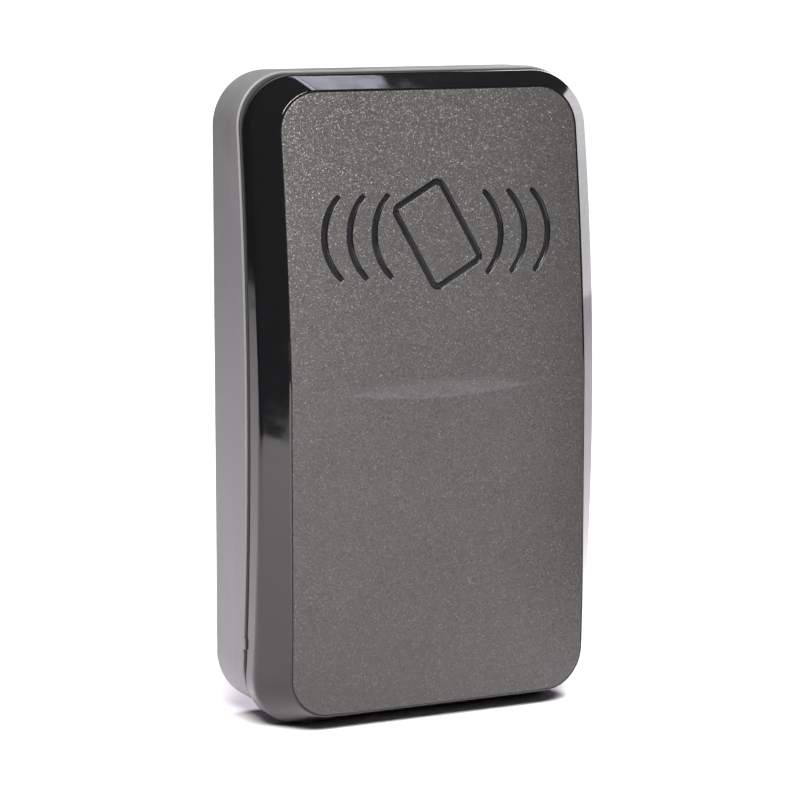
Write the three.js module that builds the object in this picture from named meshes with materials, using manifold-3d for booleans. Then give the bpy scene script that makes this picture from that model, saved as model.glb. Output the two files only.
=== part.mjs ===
// Wall-mounted contactless card reader, as an assembly of separate pieces.
// Millimetres. X runs across the reader, +Y points into the wall and +Z is up.
// The origin is the middle of the case's footprint, at its lowest edge.
// "Depth" is the distance out from the wall plane, so a larger depth is nearer the user.
import * as THREE from 'three';
import { mergeVertices } from 'three/addons/utils/BufferGeometryUtils.js';
import Module from 'manifold-3d';

// ---- Driving dimensions ----
const CASE_WIDTH = 70.4;
const CASE_HEIGHT = 120;
const CASE_DEPTH = 24.2;
const CORNER_RADIUS = 10.3;

const REAR_BOTTOM = 1.8; // the rear shell stops short of the front shell's lower edge
const REAR_WALL = 2;
const BACK_EDGE_CHAMFER = 0.6;
const LEDGE = 0.65; // the front shell is this much smaller than the rear shell
const SEAM_GAP = 0.7;
const SEAM_RIB = { bottom: 14.7, top: 16.7 };
const FRONT_WALL = 2;
const FRONT_FLOOR = 3.8; // thickness of the front shell's lower wall

const SEAM_DEPTH = { bottom: 10.85, middle: 14.27, top: 10.16 };
const RIM_DEPTH = { bottom: 14.84, middle: 19.38, top: 13.83 };

const PANEL_WIDTH = 59.9;
const PANEL_BOTTOM = 3.4;
const PANEL_TOP = 116.4;
const PANEL_CORNER = 7.3;
const PANEL_THICKNESS = 1.6;
const PANEL_PROUD = 0.2; // how far the panel stands out of the bezel around it
const PANEL_GAP = 0.15;
const FOLD_HEIGHT = 63.3; // above this line the panel leans back towards the wall
const FOLD_SLOPE = 0.048;
const FOLD_CURVE = 0.00087;
const FOOT_ROUND = { height: 25.4, drop: 1 }; // the panel eases back below this height

const TAPE_THICKNESS = 0.25;
const FLANGE_THICKNESS = 1.5;
const FLANGE_WIDTH = 3.2;
const SKIRT = { outer: 2.35, inner: 3.5, reach: 1.6, lap: 2.4, cut: 16 };
const SEAL = { outer: 1.2, inner: 1.9, clearance: 0.1 };

const HINGE_LINE = { depth: 10.8, height: 119.5 };

const BOARD = { width: 54, bottom: 34, top: 104, corner: 2, back: 11.1, thickness: 1.6 };
const BOARD_FRONT = BOARD.back + BOARD.thickness;
const BOARD_HOLE_X = 23.5;
const BOARD_HOLE_INSET = 3.5;
const PART_GAP = 0.1; // between a soldered part and the board it stands on
const COMPONENT_BACK = BOARD_FRONT + PART_GAP;

const CABLE_INLET = { height: 21, radius: 6 };
const KEYHOLE = { height: 108.5, radius: 4, slotRadius: 2.3, rise: 5 };
const WALL_SLOT = { x: 20, height: 13, radius: 2.3, travel: 4 };

// Lock screw: it passes the rear shell's boss and the cover's lug into a captive nut.
// Its pan head sits under the rear shell, behind the front shell's lower lip.
const LOCK = {
  depth: 6.5, // screw axis, out from the wall
  front: 10.2, // front faces of the boss and the bracket
  clearance: 1.8,
  boss: { half: 5, top: 5.2 },
  lug: { half: 6, bottom: 5.6, top: 8, back: 3.2, front: 15.4, root: 12.2 },
  bracket: { half: 5.2, bottom: 8.4, top: 13 },
  pocket: { half: 3.1, back: 3.4, bottom: 9.4, top: 12 },
  nut: { half: 2.8, bottom: 9.6, top: 11.8, bore: 1.6 },
  screw: { radius: 1.5, head: 2.7, headTop: 1.7, tip: 12.6 },
};
const TAMPER = { x: 18, height: 38.5 };

const CARD_MARK = { x: -0.1, height: 90.4, width: 10.85, length: 16.6, tilt: 28.3, corner: 1.2 };
const GROOVE = { width: 1.15, depth: 0.45 };
const WAVE = { count: 3, first: 12.9, spacing: 4.97, radius: 10.3, halfAngle: 44.5 };

// ---- Tessellation ----
const CORNER_STEPS = 7;
const SIDE_STEPS = 14;
const ROUND_STEPS = 20;

const wasm = await Module();
wasm.setup();

// ---- Small helpers ----
const yAt = (depth) => CASE_DEPTH / 2 - depth;

// Parabola through a value at the case's bottom, middle and top.
function arch(values, height) {
  const t = (height - REAR_BOTTOM) / (CASE_HEIGHT - REAR_BOTTOM);
  const bulge = values.middle - (values.bottom + values.top) / 2;
  return values.bottom + (values.top - values.bottom) * t + 4 * bulge * t * (1 - t);
}

const seamDepth = (height) => arch(SEAM_DEPTH, height);
const rimDepth = (height) => arch(RIM_DEPTH, height);

function panelDepth(height) {
  const above = Math.max(height - FOLD_HEIGHT, 0);
  const below = Math.max(FOOT_ROUND.height - height, 0) / FOOT_ROUND.height;
  return CASE_DEPTH - FOLD_SLOPE * above - FOLD_CURVE * above ** 2 - FOOT_ROUND.drop * below ** 2;
}

// Rounded rectangle as [x, z] points: up the right side, then down the mirrored left side.
function outline(width, bottom, top, radius) {
  const right = [];
  const arcX = width / 2 - radius;
  for (let i = 0; i <= CORNER_STEPS; i += 1) {
    const a = (i / CORNER_STEPS - 1) * (Math.PI / 2);
    right.push([arcX + radius * Math.cos(a), bottom + radius + radius * Math.sin(a)]);
  }
  for (let i = 1; i < SIDE_STEPS; i += 1) {
    right.push([width / 2, bottom + radius + ((top - bottom - 2 * radius) * i) / SIDE_STEPS]);
  }
  for (let i = 0; i <= CORNER_STEPS; i += 1) {
    const a = (i / CORNER_STEPS) * (Math.PI / 2);
    right.push([arcX + radius * Math.cos(a), top - radius + radius * Math.sin(a)]);
  }
  const left = right.map(([x, z]) => [-x, z]).reverse();
  return right.concat(left);
}

const rearOutline = (inset) => outline(
  CASE_WIDTH - 2 * inset, REAR_BOTTOM + inset, CASE_HEIGHT - inset, CORNER_RADIUS - inset);

const frontOutline = (inset, floor = inset) => outline(
  CASE_WIDTH - 2 * LEDGE - 2 * inset, floor, CASE_HEIGHT - LEDGE - inset, CORNER_RADIUS - inset);

const panelOutline = (inset) => outline(
  PANEL_WIDTH - 2 * inset, PANEL_BOTTOM + inset, PANEL_TOP - inset, PANEL_CORNER - inset);

// One ring of vertices: an outline whose depth may depend on the height.
const ring = (points, depthOf) => points.map(([x, z]) => [x, yAt(depthOf(z)), z]);

// Skins a list of rings. Open lofts get end caps made of strips straight across the case;
// closed lofts join the last ring back to the first.
function loft(rings, closed = false) {
  const count = rings[0].length;
  const half = count / 2;
  const index = [];
  const spans = closed ? rings.length : rings.length - 1;
  for (let k = 0; k < spans; k += 1) {
    const a = k * count;
    const b = ((k + 1) % rings.length) * count;
    for (let i = 0; i < count; i += 1) {
      const j = (i + 1) % count;
      index.push(a + i, a + j, b + j, a + i, b + j, b + i);
    }
  }
  if (!closed) {
    const last = (rings.length - 1) * count;
    for (let i = 0; i < half - 1; i += 1) {
      const across = count - 1 - i;
      index.push(i, across - 1, i + 1, i, across, across - 1);
      index.push(last + i, last + i + 1, last + across - 1);
      index.push(last + i, last + across - 1, last + across);
    }
  }
  const geometry = new THREE.BufferGeometry();
  geometry.setAttribute('position', new THREE.Float32BufferAttribute(rings.flat(2), 3));
  geometry.setIndex(index);
  return geometry;
}

// Closed solid for joining and cutting. Faces are turned outwards if the volume comes out negative.
function solid(geometry) {
  const bare = geometry.clone();
  bare.deleteAttribute('normal');
  bare.deleteAttribute('uv');
  const merged = mergeVertices(bare, 1e-4);
  const positions = merged.attributes.position;
  const corners = [new THREE.Vector3(), new THREE.Vector3(), new THREE.Vector3()];
  const triangles = [];
  let volume = 0;
  for (let i = 0; i < merged.index.count; i += 3) {
    const ids = [0, 1, 2].map((k) => merged.index.getX(i + k));
    if (new Set(ids).size === 3) {
      ids.forEach((id, k) => corners[k].fromBufferAttribute(positions, id));
      volume += corners[0].dot(corners[1].clone().cross(corners[2]));
      triangles.push(ids);
    }
  }
  if (volume < 0) triangles.forEach((ids) => ids.reverse());
  return new wasm.Manifold(new wasm.Mesh({
    numProp: 3,
    vertProperties: new Float32Array(positions.array),
    triVerts: new Uint32Array(triangles.flat()),
  }));
}

function geometryOf(body) {
  const { vertProperties, triVerts } = body.getMesh();
  const geometry = new THREE.BufferGeometry();
  geometry.setAttribute('position', new THREE.BufferAttribute(new Float32Array(vertProperties), 3));
  geometry.setIndex(new THREE.BufferAttribute(new Uint32Array(triVerts), 1));
  geometry.computeVertexNormals();
  return geometry;
}

const join = (first, ...others) => others.reduce((body, other) => body.add(other), first);
const cut = (first, ...tools) => tools.reduce((body, tool) => body.subtract(tool), first);

// Box from two depths, two x values and two heights.
function block(x0, x1, depth0, depth1, z0, z1) {
  const box = new THREE.BoxGeometry(x1 - x0, depth1 - depth0, z1 - z0);
  box.translate((x0 + x1) / 2, yAt((depth0 + depth1) / 2), (z0 + z1) / 2);
  return solid(box);
}

// Round piece whose axis runs out from the wall: profile of [radius, depth] pairs.
function turnedOut(x, z, profile, steps = ROUND_STEPS) {
  const points = profile.map(([radius, depth]) => new THREE.Vector2(radius, yAt(depth)));
  return solid(new THREE.LatheGeometry(points, steps).translate(x, 0, z));
}

const rod = (x, z, radius, depth0, depth1, steps = ROUND_STEPS) => turnedOut(
  x, z, [[0, depth0], [radius, depth0], [radius, depth1], [0, depth1]], steps);

// Round piece whose axis is vertical: profile of [radius, height] pairs.
function turnedUp(x, depth, profile, steps = ROUND_STEPS) {
  const points = profile.map(([radius, height]) => new THREE.Vector2(radius, height));
  const geometry = new THREE.LatheGeometry(points, steps).rotateX(Math.PI / 2);
  return solid(geometry.translate(x, yAt(depth), 0));
}

const pillar = (x, depth, radius, z0, z1, steps = ROUND_STEPS) => turnedUp(
  x, depth, [[0, z0], [radius, z0], [radius, z1], [0, z1]], steps);

// Flat plate from a shape drawn in x and z, between two depths.
function plate(shape, depth0, depth1, bevel = 0) {
  const geometry = new THREE.ExtrudeGeometry(shape, {
    depth: depth1 - depth0 - 2 * bevel,
    bevelEnabled: bevel > 0,
    bevelThickness: bevel,
    bevelSize: bevel,
    bevelOffset: -bevel,
    bevelSegments: 1,
    curveSegments: 6,
  });
  return solid(geometry.rotateX(Math.PI / 2).translate(0, yAt(depth0 + bevel), 0));
}

function roundedShape(x0, x1, z0, z1, radius) {
  const shape = new THREE.Shape();
  shape.moveTo(x1 - radius, z0);
  shape.absarc(x1 - radius, z0 + radius, radius, -Math.PI / 2, 0);
  shape.absarc(x1 - radius, z1 - radius, radius, 0, Math.PI / 2);
  shape.absarc(x0 + radius, z1 - radius, radius, Math.PI / 2, Math.PI);
  shape.absarc(x0 + radius, z0 + radius, radius, Math.PI, 1.5 * Math.PI);
  shape.closePath();
  return shape;
}

// Box-shaped electronic part standing on the board, with its upper edges eased.
function chip(x, z, width, length, height) {
  const shape = new THREE.Shape([
    new THREE.Vector2(x - width / 2, z - length / 2),
    new THREE.Vector2(x + width / 2, z - length / 2),
    new THREE.Vector2(x + width / 2, z + length / 2),
    new THREE.Vector2(x - width / 2, z + length / 2),
  ]);
  return plate(shape, COMPONENT_BACK, COMPONENT_BACK + height, 0.2);
}

const reader = new THREE.Group();

function place(name, body, colour, roughness, metalness = 0) {
  const material = new THREE.MeshStandardMaterial({ color: colour, roughness, metalness });
  const mesh = new THREE.Mesh(geometryOf(body), material);
  mesh.name = name;
  reader.add(mesh);
}

// ---- Rear shell: a moulded tray that is screwed to the wall ----
function makeRearShell() {
  const back = () => 0;
  const outside = loft([
    ring(rearOutline(BACK_EDGE_CHAMFER), back),
    ring(rearOutline(0), () => BACK_EDGE_CHAMFER),
    ring(rearOutline(0), seamDepth),
  ]);
  const hollow = loft([
    ring(rearOutline(REAR_WALL), () => REAR_WALL),
    ring(rearOutline(REAR_WALL), (z) => seamDepth(z) + 5),
  ]);
  let shell = cut(solid(outside), solid(hollow));

  const floor = REAR_WALL - 0.3; // posts and ribs start inside the wall they stand on
  const postHeights = [BOARD.bottom + BOARD_HOLE_INSET, BOARD.top - BOARD_HOLE_INSET];
  for (const side of [-1, 1]) {
    for (const height of postHeights) {
      const x = side * BOARD_HOLE_X;
      shell = join(shell, rod(x, height, 3, floor, BOARD.back - PART_GAP));
      shell = cut(shell, rod(x, height, 1.2, BOARD.back - 7, BOARD.back + 1));
    }
    // stiffening rib between the posts on each side
    const ribX = side * BOARD_HOLE_X;
    shell = join(shell, block(
      ribX - 0.6, ribX + 0.6, floor, 6, postHeights[0] + 2, postHeights[1] - 2));
    // small locating rib that bridges the seam near each lower corner, outside the seal
    const edges = [side * (CASE_WIDTH / 2 - 0.6), side * (CASE_WIDTH / 2 - 1.1)];
    const ribFront = seamDepth(SEAM_RIB.bottom) + SEAM_GAP - 0.15;
    shell = join(shell, block(
      Math.min(...edges), Math.max(...edges),
      ribFront - 3, ribFront, SEAM_RIB.bottom, SEAM_RIB.top));
  }

  // boss that the lock screw passes through, and the bracket above that holds its nut
  const { boss, bracket, pocket, clearance } = LOCK;
  shell = join(
    shell,
    block(-boss.half, boss.half, floor, LOCK.front, REAR_BOTTOM + 0.4, boss.top),
    block(-bracket.half, bracket.half, floor, LOCK.front, bracket.bottom, bracket.top),
  );
  shell = cut(
    shell,
    block(-pocket.half, pocket.half, pocket.back, LOCK.front + 1, pocket.bottom, pocket.top),
    pillar(0, LOCK.depth, clearance, 0, bracket.top + 1),
  );

  // cable inlet, hanging keyhole and two wall-screw slots through the back
  const through = [-1, REAR_WALL + 2];
  const slotEnd = KEYHOLE.height + KEYHOLE.rise;
  shell = cut(
    shell,
    rod(0, CABLE_INLET.height, CABLE_INLET.radius, ...through, 24),
    rod(0, KEYHOLE.height, KEYHOLE.radius, ...through),
    rod(0, slotEnd, KEYHOLE.slotRadius, ...through),
    block(-KEYHOLE.slotRadius, KEYHOLE.slotRadius, ...through, KEYHOLE.height, slotEnd),
  );
  for (const side of [-1, 1]) {
    const x = side * WALL_SLOT.x;
    const half = WALL_SLOT.travel / 2;
    shell = cut(
      shell,
      rod(x - half, WALL_SLOT.height, WALL_SLOT.radius, ...through),
      rod(x + half, WALL_SLOT.height, WALL_SLOT.radius, ...through),
      block(
        x - half, x + half, ...through,
        WALL_SLOT.height - WALL_SLOT.radius, WALL_SLOT.height + WALL_SLOT.radius),
    );
  }
  return shell;
}
place('rear_shell', makeRearShell(), 0x77777b, 0.45);

// ---- Seal: a rubber ring lying in the seam ----
const sealBack = (z) => seamDepth(z) + SEAL.clearance;
const sealFront = (z) => seamDepth(z) + SEAM_GAP - SEAL.clearance;
place('seal_ring', solid(loft([
  ring(rearOutline(SEAL.outer), sealBack),
  ring(rearOutline(SEAL.outer), sealFront),
  ring(rearOutline(SEAL.inner), sealFront),
  ring(rearOutline(SEAL.inner), sealBack),
], true)), 0x141414, 0.8);

// ---- Cable grommet: pushed into the inlet from inside, flush with the wall face ----
place('cable_grommet', turnedOut(0, CABLE_INLET.height, [
  [3.6, 0.2], [5.8, 0.2], [5.8, REAR_WALL + 0.15], [7.6, REAR_WALL + 0.15],
  [7.6, 3.2], [7, 3.7], [3.6, 3.7], [3.6, 0.2],
], 24), 0x18181a, 0.75);

// ---- Front bezel: the glossy shell that forms the rim and chamfer ----
function makeFrontBezel() {
  const backEdge = (z) => seamDepth(z) + SEAM_GAP;
  const panelSeat = (z) => panelDepth(z) - PANEL_THICKNESS - TAPE_THICKNESS - 0.1;
  const outside = loft([
    ring(frontOutline(0), backEdge),
    ring(frontOutline(0), rimDepth),
    ring(panelOutline(-0.4), (z) => panelDepth(z) - PANEL_PROUD),
  ]);
  const seat = loft([
    ring(panelOutline(-PANEL_GAP), panelSeat),
    ring(panelOutline(-PANEL_GAP), (z) => panelDepth(z) + 2),
  ]);
  const window = loft([
    ring(panelOutline(FLANGE_WIDTH), (z) => seamDepth(z) - 2),
    ring(panelOutline(FLANGE_WIDTH), (z) => panelDepth(z) + 2),
  ]);
  const hollow = loft([
    ring(frontOutline(FRONT_WALL, FRONT_FLOOR), (z) => seamDepth(z) - 2),
    ring(frontOutline(FRONT_WALL, FRONT_FLOOR), (z) => rimDepth(z) - 1),
    ring(panelOutline(0.6), (z) => panelSeat(z) - FLANGE_THICKNESS),
  ]);
  let bezel = cut(solid(outside), solid(seat), solid(window), solid(hollow));

  // skirt that reaches inside the rear shell along the sides and the top
  const skirtBack = (z) => seamDepth(z) - SKIRT.reach;
  const skirtFront = (z) => seamDepth(z) + SEAM_GAP + SKIRT.lap;
  const skirt = solid(loft([
    ring(rearOutline(SKIRT.outer), skirtBack),
    ring(rearOutline(SKIRT.outer), skirtFront),
    ring(rearOutline(SKIRT.inner), skirtFront),
    ring(rearOutline(SKIRT.inner), skirtBack),
  ], true));
  const lower = block(-CASE_WIDTH, CASE_WIDTH, -1, CASE_DEPTH, -1, SKIRT.cut);
  bezel = join(bezel, cut(skirt, lower));

  // lug that the lock screw holds; its slot is open towards the wall
  const { lug, clearance } = LOCK;
  const under = lug.bottom - 0.5;
  const over = lug.top + 0.5;
  bezel = join(
    bezel,
    block(-lug.half, lug.half, lug.root, lug.front, FRONT_FLOOR - 0.4, lug.top),
    block(-lug.half, lug.half, lug.back, lug.front, lug.bottom, lug.top),
  );
  return cut(
    bezel,
    block(-clearance, clearance, lug.back - 1, LOCK.depth, under, over),
    pillar(0, LOCK.depth, clearance, under, over),
  );
}
place('front_bezel', makeFrontBezel(), 0x1c1c20, 0.12);

// ---- Bonding tape between the bezel's flange and the panel ----
const tapeFront = (z) => panelDepth(z) - PANEL_THICKNESS - 0.05;
const tapeBack = (z) => tapeFront(z) - TAPE_THICKNESS + 0.05;
place('panel_tape', solid(loft([
  ring(panelOutline(0.3), tapeBack),
  ring(panelOutline(0.3), tapeFront),
  ring(panelOutline(FLANGE_WIDTH - 0.3), tapeFront),
  ring(panelOutline(FLANGE_WIDTH - 0.3), tapeBack),
], true)), 0x2a2a2a, 0.9);

// ---- Front panel: a painted plate with an engraved symbol ----
// Each engraving tool is drawn flat, then tipped to the panel's local lean.
function engraving(shape) {
  const above = CARD_MARK.height - FOLD_HEIGHT;
  const lean = Math.atan(FOLD_SLOPE + 2 * FOLD_CURVE * above);
  const tool = new THREE.ExtrudeGeometry(shape, {
    depth: 3,
    bevelEnabled: false,
    curveSegments: 8,
  });
  tool.translate(0, 0, -GROOVE.depth);
  tool.rotateX(Math.PI / 2 - lean);
  return solid(tool.translate(0, yAt(panelDepth(CARD_MARK.height)), CARD_MARK.height));
}

function cardOutline() {
  const frame = (grow) => {
    const halfWidth = CARD_MARK.width / 2 + grow;
    const halfLength = CARD_MARK.length / 2 + grow;
    return roundedShape(-halfWidth, halfWidth, -halfLength, halfLength, CARD_MARK.corner + grow);
  };
  const turn = THREE.MathUtils.degToRad(CARD_MARK.tilt);
  const turned = (shape) => new THREE.Shape(shape.getPoints(4).map((point) => (
    point.rotateAround(new THREE.Vector2(), turn).add(new THREE.Vector2(CARD_MARK.x, 0)))));
  const band = turned(frame(GROOVE.width / 2));
  band.holes.push(turned(frame(-GROOVE.width / 2)));
  return band;
}

// One wave: a round-ended arc, bulging away from the card on the given side.
function waveShape(side, order) {
  const half = THREE.MathUtils.degToRad(WAVE.halfAngle);
  const facing = side > 0 ? 0 : Math.PI;
  const reach = WAVE.first + order * WAVE.spacing;
  const centre = side * (reach - WAVE.radius);
  const outer = WAVE.radius + GROOVE.width / 2;
  const inner = WAVE.radius - GROOVE.width / 2;
  const endOf = (angle) => [
    centre + WAVE.radius * Math.cos(angle), WAVE.radius * Math.sin(angle)];
  const start = facing - half;
  const stop = facing + half;
  const shape = new THREE.Shape();
  shape.absarc(centre, 0, outer, start, stop);
  shape.absarc(...endOf(stop), GROOVE.width / 2, stop, stop + Math.PI);
  shape.absarc(centre, 0, inner, stop, start, true);
  shape.absarc(...endOf(start), GROOVE.width / 2, start - Math.PI, start);
  return shape;
}

function makeFrontPanel() {
  const plateBack = (z) => panelDepth(z) - PANEL_THICKNESS;
  let panel = solid(loft([
    ring(panelOutline(0), plateBack),
    ring(panelOutline(0), (z) => panelDepth(z) - 0.3),
    ring(panelOutline(0.3), panelDepth),
  ]));
  panel = cut(panel, engraving(cardOutline()));
  for (const side of [-1, 1]) {
    for (let order = 0; order < WAVE.count; order += 1) {
      panel = cut(panel, engraving(waveShape(side, order)));
    }
  }
  // pad on the back that holds the tamper plunger in while the cover is shut
  const padBack = panelDepth(TAMPER.height) - PANEL_THICKNESS;
  return join(panel, rod(TAMPER.x, TAMPER.height, 2.4, 19.7, padBack + 0.3));
}
place('front_panel', makeFrontPanel(), 0x5a5856, 0.5, 0.4);

// ---- Light guide behind the fold, with a leg over each status light ----
const GUIDE = { halfLength: 20, bottom: 59.8, top: 64.6, back: 20.2, legX: 11, legDepth: 15 };
const guideMiddle = (GUIDE.bottom + GUIDE.top) / 2;
place('light_guide', join(
  plate(
    roundedShape(-GUIDE.halfLength, GUIDE.halfLength, GUIDE.bottom, GUIDE.top, 2.2),
    GUIDE.back, panelDepth(GUIDE.top) - PANEL_THICKNESS - 0.15),
  rod(-GUIDE.legX, guideMiddle, 1.6, GUIDE.legDepth, GUIDE.back + 0.5),
  rod(GUIDE.legX, guideMiddle, 1.6, GUIDE.legDepth, GUIDE.back + 0.5),
), 0xe8eef0, 0.15);

// ---- Lock screw and its square nut ----
const { screw: lock, nut } = LOCK;
const lockScrew = turnedUp(0, LOCK.depth, [
  [0, 0], [lock.head - 0.3, 0], [lock.head, 0.3], [lock.head, lock.headTop],
  [lock.radius, lock.headTop], [lock.radius, lock.tip - 0.5], [1.1, lock.tip], [0, lock.tip],
]);
place('lock_screw', cut(
  lockScrew, pillar(0, LOCK.depth, 1.1, -1, 1.2, 6)), 0xa9abb0, 0.3, 1);
place('lock_nut', cut(
  block(
    -nut.half, nut.half, LOCK.depth - nut.half, LOCK.depth + nut.half, nut.bottom, nut.top),
  pillar(0, LOCK.depth, nut.bore, nut.bottom - 1, nut.top + 1),
), 0xb09a60, 0.35, 1);

// ---- Circuit board and its four screws ----
function makeBoard() {
  const half = BOARD.width / 2;
  const shape = roundedShape(-half, half, BOARD.bottom, BOARD.top, BOARD.corner);
  let board = plate(shape, BOARD.back, BOARD_FRONT);
  for (const x of [-BOARD_HOLE_X, BOARD_HOLE_X]) {
    for (const z of [BOARD.bottom + BOARD_HOLE_INSET, BOARD.top - BOARD_HOLE_INSET]) {
      board = cut(board, rod(x, z, 1.5, BOARD.back - 1, BOARD_FRONT + 1, 12));
    }
  }
  return board;
}
place('main_board', makeBoard(), 0x1f5a34, 0.5);

function makeBoardScrew(x, z) {
  const head = COMPONENT_BACK;
  const screw = turnedOut(x, z, [
    [0, BOARD.back - 5.6], [0.4, BOARD.back - 5.4], [1, BOARD.back - 4.4],
    [1, head], [2.4, head], [2.4, head + 0.9], [1.6, head + 1.5], [0, head + 1.6],
  ], 16);
  return cut(
    screw,
    block(x - 0.25, x + 0.25, head + 0.7, head + 2, z - 1.3, z + 1.3),
    block(x - 1.3, x + 1.3, head + 0.7, head + 2, z - 0.25, z + 0.25),
  );
}
let screwNumber = 0;
for (const x of [-BOARD_HOLE_X, BOARD_HOLE_X]) {
  for (const z of [BOARD.bottom + BOARD_HOLE_INSET, BOARD.top - BOARD_HOLE_INSET]) {
    screwNumber += 1;
    place(`board_screw_${screwNumber}`, makeBoardScrew(x, z), 0x8c8e92, 0.35, 1);
  }
}

// ---- Antenna coil: enamelled wire wound into a flat frame ----
const COIL = { width: 45, bottom: 44, top: 102, corner: 10, band: 3, height: 1.4 };
const coilOutline = (inset) => outline(
  COIL.width - 2 * inset, COIL.bottom + inset, COIL.top - inset, COIL.corner - inset);
const coilBack = () => COMPONENT_BACK;
const coilFront = () => COMPONENT_BACK + COIL.height;
place('antenna_coil', solid(loft([
  ring(coilOutline(0), coilBack),
  ring(coilOutline(0), coilFront),
  ring(coilOutline(COIL.band), coilFront),
  ring(coilOutline(COIL.band), coilBack),
], true)), 0xa8582c, 0.4, 0.6);

// ---- Chips and other box-shaped parts: name, centre, size, height, colour ----
const CHIPS = [
  ['controller_chip', 0, 72, 10, 10, 1.4, 0x1b1b1d],
  ['radio_chip', -8, 87, 10.2, 7.5, 2.2, 0x1d1d1f],
  ['voltage_regulator', 13, 52, 6.6, 6.2, 2.2, 0x202022],
  ['protection_diode', -13.5, 51, 5.4, 3.4, 2.2, 0x222224],
  ['status_light_1', -GUIDE.legX, guideMiddle, 3.4, 2.8, 1.8, 0xe4e0c8],
  ['status_light_2', GUIDE.legX, guideMiddle, 3.4, 2.8, 1.8, 0xe4e0c8],
];
for (const [name, x, z, width, length, height, colour] of CHIPS) {
  place(name, chip(x, z, width, length, height), colour, 0.55);
}

// ---- Crystal in its metal can ----
place('timing_crystal', plate(
  roundedShape(5.5, 16, 75.5, 80, 2.2), COMPONENT_BACK, COMPONENT_BACK + 3.4, 0.3,
), 0xb8babd, 0.25, 1);

// ---- Buzzer: round housing with a sound hole ----
place('buzzer', cut(
  turnedOut(10.5, 90.5, [
    [0, COMPONENT_BACK], [6, COMPONENT_BACK], [6, 18.4], [5.5, 18.9], [0, 18.9]], 28),
  rod(10.5, 90.5, 1.2, 17.4, 20, 12),
), 0x161618, 0.5);

// ---- Electrolytic capacitors standing on the board ----
for (const [name, x, z, radius, top] of [
  ['bulk_capacitor', -12, 73, 4, 20.4],
  ['filter_capacitor', 0.5, 54, 3.15, 18.6],
]) {
  place(name, turnedOut(x, z, [
    [0, COMPONENT_BACK], [radius, COMPONENT_BACK], [radius, 13.9], [radius - 0.3, 14.1],
    [radius - 0.3, 14.4], [radius, 14.6], [radius, top - 0.4], [radius - 0.4, top], [0, top],
  ]), 0x9aa0a8, 0.35, 0.8);
}

// ---- Terminal block with six clamping screws; wires enter from below ----
const TERMINALS = { count: 6, pitch: 3.5, bottom: 34.6, top: 42.4, front: 20.4, wellHeight: 38.4 };
const terminalX = (i) => (i - (TERMINALS.count - 1) / 2) * TERMINALS.pitch;
function makeTerminalBlock() {
  const half = (TERMINALS.count * TERMINALS.pitch) / 2 + 0.5;
  let body = block(
    -half, half, COMPONENT_BACK, TERMINALS.front, TERMINALS.bottom, TERMINALS.top);
  for (let i = 0; i < TERMINALS.count; i += 1) {
    const x = terminalX(i);
    body = cut(
      body,
      rod(x, TERMINALS.wellHeight, 1.5, 17, TERMINALS.front + 1, 14),
      block(x - 1.2, x + 1.2, 14, 16.4, TERMINALS.bottom - 1, TERMINALS.bottom + 5),
    );
  }
  return body;
}
place('terminal_block', makeTerminalBlock(), 0x2f7d4a, 0.5);
for (let i = 0; i < TERMINALS.count; i += 1) {
  const x = terminalX(i);
  const z = TERMINALS.wellHeight;
  place(`terminal_screw_${i + 1}`, cut(
    rod(x, z, 1.3, 17.2, 19.4, 14),
    block(x - 2, x + 2, 18.9, 20, z - 0.2, z + 0.2),
  ), 0xb4b6ba, 0.3, 1);
}

// ---- Tamper switch and the plunger that the cover holds in ----
place('tamper_switch', cut(
  chip(TAMPER.x, TAMPER.height, 6, 6, 4.4),
  rod(TAMPER.x, TAMPER.height, 1.6, 14.4, 18, 16),
), 0x2a2a2c, 0.5);
place('tamper_plunger', turnedOut(TAMPER.x, TAMPER.height, [
  [0, 14.7], [1.4, 14.7], [1.4, 19.1], [1, 19.5], [0, 19.5],
], 16), 0xd8d4c4, 0.4);

export default reader;
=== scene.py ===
import math

import bmesh
import bpy
import numpy as np
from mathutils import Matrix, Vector


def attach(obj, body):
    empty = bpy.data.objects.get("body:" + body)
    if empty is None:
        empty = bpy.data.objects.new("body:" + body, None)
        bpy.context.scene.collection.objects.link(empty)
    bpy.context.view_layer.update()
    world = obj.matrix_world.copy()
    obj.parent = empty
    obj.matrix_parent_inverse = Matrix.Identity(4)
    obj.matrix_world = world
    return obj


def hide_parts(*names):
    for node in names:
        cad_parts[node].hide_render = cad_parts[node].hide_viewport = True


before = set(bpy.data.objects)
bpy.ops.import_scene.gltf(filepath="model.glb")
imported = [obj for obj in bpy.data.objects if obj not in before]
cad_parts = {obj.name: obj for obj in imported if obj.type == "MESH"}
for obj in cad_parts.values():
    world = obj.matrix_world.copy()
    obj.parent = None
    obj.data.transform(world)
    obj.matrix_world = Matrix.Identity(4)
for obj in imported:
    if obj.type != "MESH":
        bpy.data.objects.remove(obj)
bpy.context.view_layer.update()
scene = bpy.context.scene

# ---- Table, room, lights and camera ----
# A white table stands in a dim room, under a warm softbox in front, and two cool tubes and a soft light
# behind. The gloss doesn't show that soft light. A glowing white card on the right is seen in the gloss only,
# and a black card close to the reader dims the gloss and the soft light on its right side.
MM = 0.001
TABLE_LEFT, TABLE_RIGHT = -348, 1500
TABLE_FRONT, TABLE_BACK = -1100, 640
TABLE_COLOUR = (0.80, 0.775, 0.83, 1)
LAMP_HEIGHT = 850
WARM = (1.0, 0.985, 0.93)
COOL = (0.92, 0.92, 1.10)
NEUTRAL = (1.0, 0.985, 1.01)
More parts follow.
